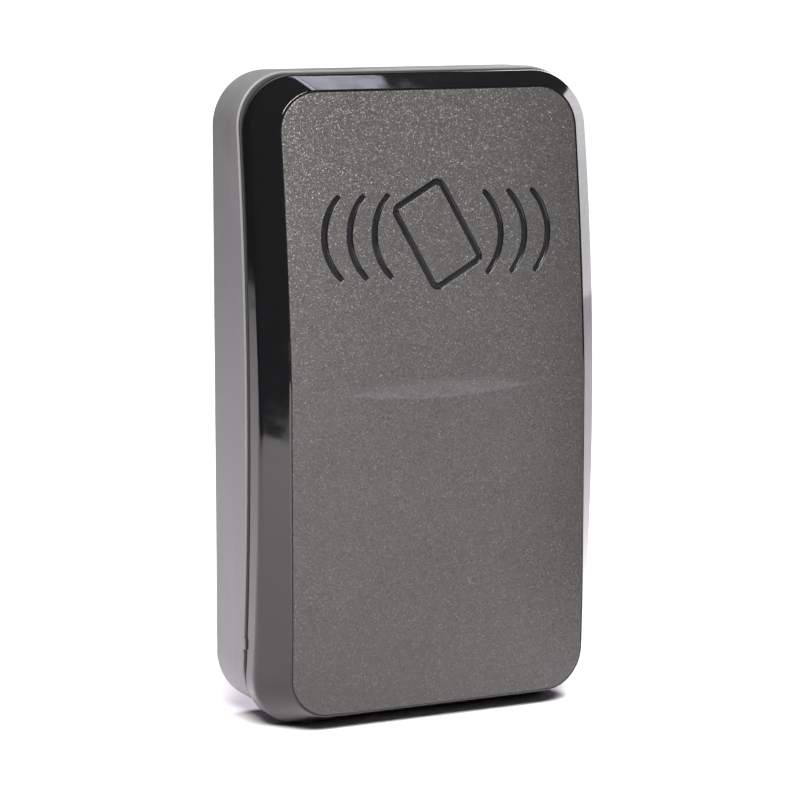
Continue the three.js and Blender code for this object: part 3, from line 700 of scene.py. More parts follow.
def panel_sheet(inset, drop):
    """Grid over the panel: each row runs straight across between the two sides of the inset outline, and its
    points take the panel's depth, less the drop and, on the face, the crown's fall and the facet's dip."""
    points, normals = panel_outline
    right = (points - inset * normals)[:2 * (CORNER_STEPS + 1) + len(shares)]
    across = np.linspace(-1, 1, COLUMNS + 1)[None] * right[:, :1]
    height = np.repeat(right[:, 1:], COLUMNS + 1, axis=1)
    depth = panel_depth(height) - drop - (crown(across) + facet_dip(across, height) if drop == 0 else 0)
    return np.stack([across, depth_to_y(depth), height], 2)


def around(grid):
    """Point numbers round a grid's border, in the outline's order."""
    return np.concatenate([grid[:, -1], grid[-1, -2:0:-1], grid[::-1, 0], grid[0, 1:-1]])


face = panel_sheet(0.3, 0)
back = panel_sheet(0.3, PANEL_THICKNESS)
edges = eased([
    ring(panel_outline, 0.3, panel_depth, crown),
    ring(panel_outline, 0, panel_depth, crown),
    ring(panel_outline, 0, lowered(panel_depth, PANEL_THICKNESS)),
    ring(panel_outline, 0.3, lowered(panel_depth, PANEL_THICKNESS)),
], (0, 0.22, 0.1, 0), 5)[1:-1]
grid = numbered(*face.shape[:2])[0]
loops = numbered(*edges.shape[:2], grid.size)[0]
back_grid = grid + grid.size + loops.size
cell = np.stack([grid[:-1, :-1], grid[:-1, 1:], grid[1:, 1:], grid[1:, :-1]], 2).reshape(-1, 4)
blocks = [cell[:, ::-1], back_grid.ravel()[cell]]
blocks += [band(a, b) for a, b in zip([around(grid), *loops], [*loops, around(back_grid)])]
panel_points = np.concatenate([part.reshape(-1, 3) for part in (face, edges, back)])

# Metal-flake paint: cells of two sizes, each with its own brightness and its own tilt, as single flakes that
# lie a little askew under a satin lacquer; a few large cells are painted much lighter as painted glints.
flake_group, given, result = new_group(
    "flake_paint", {"Place": "Vector", "Colour": "Color", "Tilt": "Float"},
    {"Colour": "Color", "Roughness": "Float", "Normal": "Vector"})
tree = flake_group
small, large = (add_node(tree, "TexVoronoi", {"Vector": given["Place"], "Scale": scale}).outputs["Color"]
                for scale in (7000.0, 5000.0))
small_value, large_value = (add_node(tree, "SeparateColor", {0: flake}).outputs for flake in (small, large))
mottle = remap(tree, noise(tree, given["Place"], 45.0, 5.0), 0.25, 0.75, 0.95, 1.05)
tone = calc(tree, "MULTIPLY", remap(tree, small_value[0], 0, 1, 0.78, 1.22), mottle)
# painted glints: the brightest of the large cells are lifted in colour
tone = calc(tree, "ADD", tone, remap(tree, large_value[2], 0.92, 1.0, 0.0, 0.9))
askew = scaled(tree, vectors(tree, "SUBTRACT", small, (0.5, 0.5, 0.5)), given["Tilt"])
leaning = vectors(tree, "ADD", add_node(tree, "NewGeometry").outputs["Normal"], askew)
feed(tree, result, {
    "Colour": scaled(tree, given["Colour"], tone),
    "Roughness": remap(tree, small_value[1], 0, 1, 0.32, 0.44),
    "Normal": vectors(tree, "NORMALIZE", leaning)})

# inside the facet's lens the flakes lie flatter, and the colour is painted a little lighter there as a painted
# highlight
flake_paint, tree, shader = new_material("flake_paint", {"Metallic": 0.65, "Specular IOR Level": 0.3})
place = place_of(tree)
centred = add_node(tree, "Mapping", {"Vector": place, "Location": (-FACET_X * MM, 0, -FACET_MIDDLE * MM)})
apart = add_node(tree, "SeparateXYZ", {0: centred.outputs[0]}).outputs
across = calc(tree, "DIVIDE", apart[0], FACET_HALF_WIDTH * MM)
opening = calc(tree, "SUBTRACT", 1.0, calc(tree, "MULTIPLY", across, across))
reach = calc(tree, "MULTIPLY", opening, FACET_HALF_HEIGHT * MM)
inside = calc(tree, "SUBTRACT", reach, calc(tree, "ABSOLUTE", apart[2]))
lens_mask = remap(tree, inside, 0.0, 0.25 * MM, 0.0, 1.0)
surface = add_node(tree, "Group", {
    "Place": place, "Colour": mixed(tree, lens_mask, PAINT, FACET_PAINTED_HIGHLIGHT),
    "Tilt": remap(tree, lens_mask, 0, 1, FLAKE_TILT, FACET_TILT)}, node_tree=flake_group).outputs
feed(tree, shader.inputs, {
    "Base Color": surface["Colour"], "Roughness": surface["Roughness"],
    "Normal": bumped(tree, noise(tree, place, 1500.0), 0.008, Normal=surface["Normal"])})
engraving = polished("engraving", (0.006, 0.006, 0.007), 0.22, 0.02)
panel = closed_body("front_panel_plate", (panel_points, np.concatenate(blocks).tolist()), flake_paint)

# the cutter's section: half widths and heights above the face, with a small rounded lip
lip = np.linspace(0.2, math.pi / 2, 5)
section = np.array([
    *np.stack([GROOVE_WIDTH / 2 + GROOVE_LIP * (1 - np.sin(lip)), -GROOVE_LIP * (1 - np.cos(lip))], 1),
    (GROOVE_WIDTH / 2 - 0.06, -GROOVE_DEPTH + 0.12), (GROOVE_WIDTH / 2 - 0.18, -GROOVE_DEPTH)])
GROOVE_SECTION = np.concatenate([[(section[0, 0], 0.4)], section])


def on_panel(points, rise):
    """Sets points in x and z on the panel's face, raised by a distance."""
    depth = panel_depth(points[..., 1]) - crown(points[..., 0]) + rise
    return np.stack([points[..., 0], depth_to_y(depth), points[..., 1]], -1)


def card_cutter():
    """The card's rounded outline, turned by its tilt, with the section carried round it on both sides."""
    points, normals = rounded_outline(
        CARD_WIDTH, -CARD_LENGTH / 2, CARD_LENGTH / 2, CARD_CORNER, 10, np.linspace(0, 1, 21)[1:-1], 12)
    cos, sin = math.cos(CARD_TILT), math.sin(CARD_TILT)
    turn = np.array([[cos, sin], [-sin, cos]])
    points = points @ turn + [CARD_X, CARD_HEIGHT]
    normals = normals @ turn
    both = np.concatenate([GROOVE_SECTION, GROOVE_SECTION[::-1] * [-1, 1]])
    rings = np.array([on_panel(points + half * normals, rise) for half, rise in both])
    return closed_body("card_cutter", skinned(rings, closed=True), engraving)


def wave_cutter(side, order):
    """A round-ended arc, a little narrower at its ends: for each point of the section, the ring at that half
    width round the arc's line."""
    centre = np.array([side * (WAVE_FIRST + order * WAVE_SPACING - WAVE_RADIUS), CARD_HEIGHT])
    sweep = (0 if side > 0 else math.pi) + np.linspace(-WAVE_HALF_ANGLE, WAVE_HALF_ANGLE, 41)
    arm = np.stack([np.cos(sweep), np.sin(sweep)], 1)
    taper = 1 - 0.16 * np.abs(np.linspace(-1, 1, 41)[:, None]) ** 6

    def cap(end, start, half):
        """Half circle round one end of the arc."""
        turn = start + np.linspace(0, math.pi, 12)[1:-1]
        return centre + WAVE_RADIUS * arm[end] + half * taper[end] * np.stack([np.cos(turn), np.sin(turn)], 1)

    rings = []
    for half, rise in GROOVE_SECTION:
        outer, inner = (centre + (WAVE_RADIUS + way * half * taper) * arm for way in (1, -1))
        top, low = cap(-1, sweep[-1], half), cap(0, sweep[0] + math.pi, half)
        middle = len(low) // 2
        rings.append(on_panel(np.concatenate([low[middle:], outer, top, inner[::-1], low[:middle]]), rise))
    return closed_body("wave_cutter", skinned(np.array(rings)), engraving)


TAMPER = (18.0, 38.5)  # the tamper switch's axis
pad = turned("tamper_pad", *TAMPER, [
    (0, 19.7), (2.4, 19.7), (2.4, 22.9), (0, 22.9)], (0, 0.2, 0, 0), flake_paint, 32)
shaped(panel, [pad], [card_cutter()] + [wave_cutter(side, order) for side in (-1, 1) for order in range(3)])
fitted(panel, "cover", "flake_paint", "front_panel", angle=math.radians(28))

# ---- Cable grommet ----
# A black rubber bush pushed into the cable inlet from inside. Its flange lies on the shell's floor, and a thin
# lip in its bore grips the cable.
grommet = turned("cable_grommet_rubber", 0, INLET_HEIGHT, [
    (3.6, 0.2), (5.8, 0.2), (5.8, 2.15), (7.6, 2.15), (7.6, 3.2), (7.0, 3.7), (3.6, 3.7), (3.6, 2.3), (3.25, 1.95),
    (3.6, 1.6)], (0.25, 0.3, 0.1, 0.2, 0.25, 0.25, 0.25, 0.1, 0.12, 0.1), seal_rubber, 64)
fitted(grommet, "case", "seal_rubber", "cable_grommet", angle=math.radians(50))

# ---- Panel tape ----
# A ring of black acrylic foam tape, a fifth of a millimetre thick, that bonds the panel to the bezel's flange.
tape_foam = moulded("tape_foam", (0.02, 0.02, 0.021), 0.9, 0.09, 0.03)
TAPE_OUTER, TAPE_INNER = 0.3, 2.9
TAPE_BACK, TAPE_FRONT = 1.85, 1.65  # drops below the panel's face
tape = closed_body("panel_tape_foam", skinned(eased([
    ring(panel_edge, inset, lowered(panel_depth, drop)) for inset, drop in (
        (TAPE_OUTER, TAPE_BACK), (TAPE_OUTER, TAPE_FRONT), (TAPE_INNER, TAPE_FRONT), (TAPE_INNER, TAPE_BACK))
], 0.04, 3), closed=True), tape_foam)
fitted(tape, "cover", "tape_foam", "panel_tape")

# ---- Light guide ----
# A bar of clear acrylic behind the fold, with a round leg over each status light. It is pressed into the cover.
GUIDE_BOTTOM, GUIDE_TOP = 59.8, 64.6
GUIDE_BACK = 20.2
LIGHT_X = 11.0
LIGHT_HEIGHT = (GUIDE_BOTTOM + GUIDE_TOP) / 2
clear_acrylic = polished("clear_acrylic", (0.93, 0.96, 0.97), 0.07, 0.01, IOR=1.49,
                         **{"Transmission Weight": 1.0})
guide = plate("light_guide_bar", 0, 40, GUIDE_BOTTOM, GUIDE_TOP, 2.2, GUIDE_BACK,
              float(panel_depth(GUIDE_TOP)) - 1.75, 0.25, clear_acrylic, 12)
shaped(guide, [turned("leg", side * LIGHT_X, LIGHT_HEIGHT, [
    (0, 15), (1.4, 15), (1.6, 16.5), (1.6, 20.7), (0, 20.7)], (0, 0.2, 0.3, 0, 0), clear_acrylic)
    for side in (-1, 1)])
fitted(guide, "cover", "clear_acrylic", "light_guide")

# ---- Lock screw ----
# A zinc-plated steel machine screw with a hexagon recess. It is driven up from below through the rear shell's
# boss and the cover's lug into the nut, and its head is the reader's rear foot.
THREAD_PITCH = 0.5


def threaded(name, x, z, head, tip, start, stop, crest, root, material, steps=28, pitch=THREAD_PITCH,
             upright_depth=None):
    """Turned body whose middle is a thread: between start and stop the radius swings from root to crest and
    back once in each pitch along the axis, moved on by one pitch in each turn. Head and tip are profiles of
    radius and position before and after it."""
    rows = np.linspace(start, stop, max(2, round(abs(stop - start) / pitch * 8)) + 1)[:, None]
    phase = (rows / pitch - np.linspace(0, 1, steps, endpoint=False)) % 1
    fade = np.clip(np.minimum(np.abs(rows - start), np.abs(stop - rows)) / pitch, 0, 1)
    swing = crest - (crest - root) * (1 - np.abs(2 * phase - 1)) * fade
    head, tip = (np.array(part, float) for part in (head, tip))
    radius = np.concatenate([np.repeat(head[:, :1], steps, 1), swing, np.repeat(tip[:, :1], steps, 1)])
    along = np.repeat(np.concatenate([head[:, 1:], rows, tip[:, 1:]]), steps, 1)
    return spun(name, x, z, radius, along, material, upright_depth)


# Worked metal: a fine scratch haze and slow stains that change the colour and the gloss.
worked_metal, given, result = new_group(
    "worked_metal", {"Place": "Vector", "Colour": "Color", "Roughness": "Float", "Stain": "Float"},
    {"Colour": "Color", "Roughness": "Float", "Height": "Float"})
tree = worked_metal
stained = remap(tree, noise(tree, given["Place"], 900.0, 5.0), 0.4, 0.75, 0.0, 1.0)
amount = calc(tree, "MULTIPLY", stained, given["Stain"])
marks = noise(tree, vectors(tree, "MULTIPLY", given["Place"], (22000, 2500, 22000)), 1.0, 3.0)
uneven = calc(tree, "ADD", remap(tree, marks, 0.3, 0.8, -0.06, 0.14), amount)
feed(tree, result, {
    "Colour": scaled(tree, given["Colour"], calc(tree, "SUBTRACT", 1.0, amount)),
    "Roughness": calc(tree, "ADD", given["Roughness"], uneven),
    "Height": marks})


def metal(name, colour, roughness, stain, **shader_values):
    """Material of bare or plated metal. Stain is how much its dull patches darken it."""
    return surfaced(name, worked_metal, {"Colour": (*colour, 1), "Roughness": roughness, "Stain": stain}, 0.004, {
        "Metallic": 1.0, **shader_values})


plated_steel = metal("plated_steel", (0.60, 0.61, 0.63), 0.26, 0.25)
lock_screw = threaded("lock_screw_steel", 0, 0, [
    (0, 0), (1.9, 0), (2.3, 0.06), (2.55, 0.18), (2.68, 0.38), (2.7, 0.6), (2.7, 1.5), (2.6, 1.66), (2.45, 1.7),
    (1.65, 1.7), (1.5, 1.85)], [(1.35, 12.3), (1.1, 12.6), (0, 12.6)], 2.0, 12.1, 1.5, 1.24, plated_steel, 36,
    upright_depth=LOCK_DEPTH)
shaped(lock_screw, (), [turned("hexagon", 0, 0, [
    (0, -1), (1.25, -1), (1.1, 0.1), (1.1, 1.2), (0, 1.35)], 0, plated_steel, 6, LOCK_DEPTH)])
fitted(lock_screw, "lock_screw", "plated_steel", "lock_screw")

# ---- Lock nut ----
# A square brass nut, dropped into the rear shell's pocket before the board goes in. Its bore is tapped and
# countersunk at both ends.
NUT_HALF = 2.8
NUT_BOTTOM, NUT_TOP = 9.6, 11.8
nut_brass = metal("nut_brass", (0.72, 0.54, 0.26), 0.3, 0.3)
nut = plate("lock_nut_brass", 0, 2 * NUT_HALF, NUT_BOTTOM, NUT_TOP, 0.3, LOCK_DEPTH - NUT_HALF,
            LOCK_DEPTH + NUT_HALF, 0.15, nut_brass)
tapped = threaded("tapped_bore", 0, 0, [
    (0, NUT_BOTTOM - 0.5), (2.25, NUT_BOTTOM - 0.5), (1.75, NUT_BOTTOM + 0.05)],
    [(1.75, NUT_TOP - 0.05), (2.25, NUT_TOP + 0.5), (0, NUT_TOP + 0.5)], NUT_BOTTOM + 0.15,
    NUT_TOP - 0.15, 1.85, 1.6, nut_brass, upright_depth=LOCK_DEPTH)
shaped(nut, (), [tapped])
fitted(nut, "case", "nut_brass", "lock_nut")

# ---- Main board ----
# Glass-fibre laminate with green solder mask over copper tracks. Small plated vias join its two sides, and
# tinned rings surround its four screw holes.
BOARD_WIDTH = 54.0
BOARD_BOTTOM, BOARD_TOP = 34.0, 104.0
BOARD_BACK, BOARD_FRONT = 11.1, 12.7
COMPONENT_BACK = 12.8
TRACK_PITCH = 0.85
MASK_GREEN = (0.010, 0.075, 0.030, 1)
COPPER_GREEN = (0.028, 0.150, 0.060, 1)
TIN = (0.55, 0.56, 0.56)
board_laminate, tree, shader = new_material("board_laminate", {})
place = place_of(tree)
apart = add_node(tree, "SeparateXYZ", {0: place}).outputs
flat = add_node(tree, "CombineXYZ", {0: apart[0], 1: apart[2]}).outputs[0]
zones = add_node(tree, "TexVoronoi", {"Vector": flat, "Scale": 105.0}, distance="CHEBYCHEV")
pick = add_node(tree, "SeparateColor", {0: zones.outputs["Color"]}).outputs
strips = []
for axis in (0, 2):
    phase = calc(tree, "MULTIPLY", apart[axis], 2 * math.pi / (TRACK_PITCH * MM))
    strips.append(remap(tree, calc(tree, "SINE", phase), 0.1, 0.35, 0.0, 1.0))
upright = calc(tree, "GREATER_THAN", pick[0], 0.4)
tracks = add_node(tree, "Mix", {0: upright, 2: strips[0], 3: strips[1]}).outputs[0]
copper = calc(tree, "MAXIMUM", tracks, calc(tree, "GREATER_THAN", pick[1], 0.55))
vias = add_node(tree, "TexVoronoi", {"Vector": flat, "Scale": 260.0}).outputs["Distance"]
via = remap(tree, vias, 0.075, 0.095, 1.0, 0.0)
# the middle of each via, its hole, is painted dark as painted shade
tin_and_hole_shade = scaled(tree, TIN, remap(tree, vias, 0.03, 0.04, 0.15, 1.0))
fibres = noise(tree, place, 1400.0, 3.0)
mask = scaled(tree, mixed(tree, copper, MASK_GREEN, COPPER_GREEN), remap(tree, fibres, 0.3, 0.7, 0.88, 1.12))
feed(tree, shader.inputs, {
    "Base Color": mixed(tree, via, mask, tin_and_hole_shade), "Metallic": via,
    "Roughness": remap(tree, fibres, 0.3, 0.7, 0.28, 0.42),
    "Normal": bumped(tree, calc(tree, "ADD", copper, via), 0.035)})
board = plate("main_board_laminate", 0, BOARD_WIDTH, BOARD_BOTTOM, BOARD_TOP, 2, BOARD_BACK, BOARD_FRONT, 0.08,
              board_laminate, 12)
holes = [(side * POST_X, height) for side in (-1, 1) for height in POST_HEIGHTS]
shaped(board, (), [
    rod("screw_hole", *hole, 1.5, BOARD_BACK - 1, BOARD_FRONT + 1, board_laminate, 32) for hole in holes])
fitted(board, "case", "board_laminate", "main_board")
for number, hole in enumerate(holes, 1):
    tinned = turned(f"hole_ring_{number}", *hole, [
        (1.55, BOARD_FRONT), (2.7, BOARD_FRONT), (2.7, BOARD_FRONT + 0.05), (1.55, BOARD_FRONT + 0.05)],
        (0, 0, 0.02, 0.02), plated_steel)
    fitted(tinned, "case", "plated_steel")

# ---- Board screws ----
# Four pan-headed self-tapping screws with a cross recess, driven through the board into the posts.
SHANK_RADIUS = 1.0
HEAD_RADIUS = 2.4
SCREW_PITCH = 0.6
for number, (x, z) in enumerate(holes, 1):
    screw = threaded(f"board_screw_{number}_steel", x, z, [
        (0, 14.4), (0.9, 14.37), (1.6, 14.22), (2.1, 13.95), (2.36, 13.5), (HEAD_RADIUS, 13.1),
        (HEAD_RADIUS, COMPONENT_BACK), (SHANK_RADIUS, COMPONENT_BACK)], [(0.7, 6.2), (0.4, 5.7), (0, 5.5)],
        COMPONENT_BACK - 0.3, 6.7, SHANK_RADIUS, 0.76, plated_steel, pitch=SCREW_PITCH)
    shaped(screw, (), [plate("arm", x, width, z - half, z + half, 0.1, 13.45, 15, 0.05, plated_steel)
                       for width, half in ((0.55, 1.25), (2.5, 0.28))])
    fitted(screw, "case", "plated_steel", f"board_screw_{number}")

# ---- Antenna coil ----
# Enamelled copper wire wound in six turns and three layers on a flat frame, held by four strips of amber tape.
# It lies on the board behind the upper part of the panel.
COIL_WIDTH = 45.0
COIL_BOTTOM, COIL_TOP = 44.0, 102.0
COIL_CORNER = 10.0
COIL_BAND = 3.0
COIL_HEIGHT = 1.4
WIRE_BULGE = 0.09
coil_copper = metal("coil_copper", (0.62, 0.24, 0.09), 0.24, 0.3, **{"Coat Weight": 0.6, "Coat Roughness": 0.15})
t = np.linspace(0, 1, 7)[:-1]


def wires(count, length):
    """Distances along one side of the winding and how far each lies out from it: one half sine for each
    wire."""
    along = (np.arange(count)[:, None] + t).ravel() * length / count
    return along, np.tile(WIRE_BULGE * np.sin(math.pi * t), count)


side_along, side_out = wires(3, COIL_HEIGHT - WIRE_BULGE)
face_along, face_out = wires(6, COIL_BAND - 2 * WIRE_BULGE)
inner, top = COIL_BAND - WIRE_BULGE, COIL_HEIGHT - WIRE_BULGE
inset = np.concatenate([WIRE_BULGE - side_out, WIRE_BULGE + face_along, inner + side_out, [inner]])
raised = np.concatenate([side_along, top + face_out, top - side_along, [0.0]])
coil_outline = rounded_outline(COIL_WIDTH, COIL_BOTTOM, COIL_TOP, COIL_CORNER, 16, np.linspace(0, 1, 4)[1:-1])
coil = closed_body("antenna_coil_winding", skinned(np.array([
    ring(coil_outline, a, COMPONENT_BACK + b) for a, b in zip(inset, raised)]), closed=True), coil_copper)
fitted(coil, "case", "coil_copper", "antenna_coil", angle=math.radians(75))
amber_tape = polished("amber_tape", (0.42, 0.16, 0.01), 0.22, 0.02, **{"Coat Weight": 0.4})
strip_back = COMPONENT_BACK + COIL_HEIGHT + 0.03
middle = (COIL_BOTTOM + COIL_TOP) / 2
for number, (x, z, width, length) in enumerate((
        (-21, middle, 3.6, 5), (21, middle, 3.6, 5), (-8, COIL_BOTTOM + 1.5, 5, 3.6),
        (0, COIL_TOP - 1.5, 5, 3.6)), 1):
    strip = plate(f"coil_tape_{number}", x, width, z - length / 2, z + length / 2, 0.3, strip_back,
                  strip_back + 0.07, 0.03, amber_tape)
    fitted(strip, "case", "tape_foam")

# ---- Chips ----
# Packages moulded in black epoxy, each with a small dimple at its first pin. Their bent tinned legs are soldered
# to the board; the regulator also has a cooling tab, and the diode two wide clips.
def bent_strip(path, width, thickness):
    """Strip bent along a path of outward and raised distances; its section is a rectangle set square to the
    path."""
    path = np.array(path, float)
    along = np.gradient(path, axis=0)
    along /= np.linalg.norm(along, axis=1, keepdims=True)
    square = np.stack([-along[:, 1], along[:, 0]], 1) * thickness / 2
    points = np.stack([np.insert(path + way * square, 1, shift * width / 2, 1)
                       for way, shift in ((-1, -1), (-1, 1), (1, 1), (1, -1))], 1)
    rows, blocks = numbered(len(path), 4)
    return points.reshape(-1, 3), np.concatenate([*blocks, rows[:1, ::-1], rows[-1:]])


def repeated(name, template, spots, facing, material):
    """One mesh of many like parts. The template's outward, sideways and raised distances are turned to each
    part's facing and moved to its spot on the board."""
    points, faces = template
    outward, sideways, raised = points.T
    (x, z), (face_x, face_z) = (np.array(value, float).T[:, :, None] for value in (spots, facing))
    placed = np.stack([x + outward * face_x - sideways * face_z,
                       depth_to_y(COMPONENT_BACK + raised) + 0 * x,
                       z + outward * face_z + sideways * face_x], 2)
    numbers = faces + np.arange(len(x))[:, None, None] * len(points)
    return closed_body(name, (placed.reshape(-1, 3), numbers.reshape(-1, 4).tolist()), material)


def rows_of_legs(name, rows, path, width, thickness):
    """The bent legs of one package, as one piece. Each row is given by its centre, count, pitch and facing,
    and runs across its facing."""
    spots, facings = [], []
    for x, z, count, pitch, facing in rows:
        steps = (np.arange(count) - (count - 1) / 2) * pitch
        spots.append(np.array([x, z]) + steps[:, None] * [-facing[1], facing[0]])
        facings.append(np.tile(facing, (count, 1)))
    legs = repeated(name, bent_strip(path, width, thickness), np.concatenate(spots), np.concatenate(facings),
                    plated_steel)
    fitted(legs, "case", "plated_steel")


chip_black = moulded("chip_black", (0.016, 0.016, 0.017), 0.55, 0.045, 0.006)
SIDES = ((1, 0), (0, 1), (-1, 0), (0, -1))


def package(name, x, z, width, length, foot, top, dimple):
    """Epoxy body with its edges eased and a dimple at one corner."""
    top += COMPONENT_BACK
    body = plate(name + "_body", x, width, z - length / 2, z + length / 2, 0.3, COMPONENT_BACK + foot, top, 0.15,
                 chip_black)
    shaped(body, (), [turned("dimple", x - width / 2 + 2 * dimple, z + length / 2 - 2 * dimple, [
        (0, top - 0.12), (0.8 * dimple, top - 0.1), (dimple, top + 0.5), (0, top + 0.5)], 0, chip_black, 24)])
    fitted(body, "case", "chip_black", name)


package("controller_chip", 0, 72, 8.8, 8.8, 0.1, 1.4, 0.5)
rows_of_legs("controller_chip_legs", [
    (4.38 * across, 72 + 4.38 * up, 16, 0.5, (across, up)) for across, up in SIDES],
    ((-0.2, 0.75), (0.16, 0.75), (0.24, 0.7), (0.3, 0.15), (0.38, 0.06), (0.62, 0.05)), 0.22, 0.12)
package("radio_chip", -8, 87, 10.2, 5.9, 0.15, 2.2, 0.55)
rows_of_legs("radio_chip_legs", [(-8, 87 + 2.95 * up, 8, 1.27, (0, up)) for up in (1, -1)],
             ((-0.2, 1.0), (0.16, 1.0), (0.28, 0.92), (0.36, 0.2), (0.5, 0.09), (0.78, 0.08)), 0.42, 0.16)
package("voltage_regulator", 13, 51.9, 6.4, 4.4, 0.05, 2.2, 0.5)
rows_of_legs("voltage_regulator_legs", [(13, 49.7, 2, 4.56, (0, -1))],
             ((-0.2, 1.0), (0.1, 1.0), (0.22, 0.9), (0.3, 0.2), (0.42, 0.12), (0.76, 0.11)), 0.75, 0.2)
tab = plate("voltage_regulator_tab", 13, 5.2, 53.9, 55.05, 0.3, COMPONENT_BACK, COMPONENT_BACK + 0.5, 0.08,
            plated_steel)
fitted(tab, "case", "plated_steel")
package("protection_diode", -13.5, 51, 4.4, 3.4, 0.05, 2.2, 0.3)
rows_of_legs("protection_diode_clips", [(-13.5 + 2.2 * across, 51, 1, 1, (across, 0)) for across in (1, -1)],
             ((-0.15, 1.2), (0.2, 1.2), (0.36, 1.05), (0.4, 0.3), (0.3, 0.1), (-0.3, 0.07)), 1.9, 0.12)

# ---- Small surface-mounted parts ----
# Thick-film resistors and ceramic capacitors, 1.6 mm long, soldered in rows round the chips by their tinned
# ends.
small_spots = np.array([
    (-9.5, 66.5), (-9.5, 64.9), (7.4, 70.5), (7.4, 72.1), (7.4, 73.7), (-4.5, 64.5), (-1.7, 64.5), (1.1, 64.5),
    (3.9, 64.5), (-3.2, 79.4), (0.6, 79.4), (-14.8, 87.5), (-14.8, 85.9), (-14.8, 89.3), (-4.6, 92.6),
    (-7.6, 92.6), (-10.6, 92.6), (-4.4, 81.6), (-8.2, 81.6), (7.6, 56.6), (7.6, 55.0), (18.4, 50.2),
    (18.4, 51.8), (-7.4, 55.4), (-7.4, 53.8), (-15.5, 62.2), (15.5, 62.2), (11.0, 67.0), (13.2, 67.0)])
small_facing = np.tile([1.0, 0.0], (len(small_spots), 1))
small_tan = moulded("small_tan", (0.30, 0.19, 0.11), 0.5, 0.06, 0.005)
end_strip = bent_strip(((0.48, 0.27), (0.5, 0.27), (0.79, 0.27), (0.8, 0.27)), 0.84, 0.5)
body_strip = bent_strip(((-0.5, 0.26), (-0.46, 0.26), (0.46, 0.26), (0.5, 0.26)), 0.8, 0.44)
for name, template, spots, facing, material, slot in (
        ("small_part_ends", end_strip, np.tile(small_spots, (2, 1)), np.concatenate([small_facing, -small_facing]),
         plated_steel, "plated_steel"),
        ("small_resistors", body_strip, small_spots[::2], small_facing[::2], chip_black, "chip_black"),
        ("small_ceramics", body_strip, small_spots[1::2], small_facing[1::2], small_tan, "chip_black")):
    fitted(repeated(name, template, spots, facing, material), "case", slot)

# ---- Status lights ----
# White plastic packages with a round well, filled with a clear yellowish resin that stands a little domed. They
# shine into the light guide's legs.
light_white = moulded("light_white", (0.78, 0.77, 0.72), 0.45, 0.06, 0.004)
light_lens = polished("light_lens", (0.80, 0.62, 0.22), 0.12, 0.01, **{"Transmission Weight": 0.35})
front = COMPONENT_BACK + 1.8
for number, x in enumerate((-LIGHT_X, LIGHT_X), 1):
    holder = plate(f"status_light_{number}_body", x, 3.4, LIGHT_HEIGHT - 1.4, LIGHT_HEIGHT + 1.4, 0.3,
                   COMPONENT_BACK + 0.02, front, 0.12, light_white)
    shaped(holder, (), [turned("well", x, LIGHT_HEIGHT, [
        (0, front - 0.8), (0.9, front - 0.8), (1.15, front + 0.4), (0, front + 0.4)], 0, light_white)])
    fitted(holder, "case", "light_lens", f"status_light_{number}")
    resin = turned(f"status_light_{number}_resin", x, LIGHT_HEIGHT, [
        (0, front - 0.78), (0.88, front - 0.78), (1.03, front - 0.15), (0.7, front - 0.06), (0, front - 0.03)],
        (0, 0.05, 0.05, 0.1, 0), light_lens)
    fitted(resin, "case", "light_lens")

# ---- Timing crystal ----
# A quartz crystal in a drawn and nickel-plated steel can, resistance-welded round its lower flange.
CRYSTAL_X = 10.75
can_metal = metal("can_metal", (0.70, 0.70, 0.70), 0.3, 0.2)
crystal = plate("timing_crystal_can", CRYSTAL_X, 9.7, 75.9, 79.6, 1.8, COMPONENT_BACK + 0.2, COMPONENT_BACK + 3.4,
                0.6, can_metal, 16)
shaped(crystal, [plate("flange", CRYSTAL_X, 10.5, 75.5, 80, 2.2, COMPONENT_BACK, COMPONENT_BACK + 0.5, 0.12,
                       can_metal, 16)])
fitted(crystal, "case", "can_metal", "timing_crystal")

# ---- Buzzer ----
# A piezo sounder in a round black housing, with a raised collar round its sound hole.
BUZZER = (10.5, 90.5)
buzzer = turned("buzzer_housing", *BUZZER, [
    (0, COMPONENT_BACK), (6, COMPONENT_BACK), (6, 13.5), (5.85, 13.7), (5.85, 18.55), (5.5, 18.75), (2.4, 18.75),
    (2.3, 18.9), (0, 18.9)], (0, 0.1, 0.1, 0.1, 0.2, 0.15, 0.06, 0.05, 0), chip_black, 64)
shaped(buzzer, (), [turned("sound_hole", *BUZZER, [
    (0, 17.4), (1.2, 17.4), (1.2, 18.7), (1.35, 20), (0, 20)], (0, 0.1, 0, 0, 0), chip_black, 32)])
fitted(buzzer, "case", "chip_black", "buzzer")

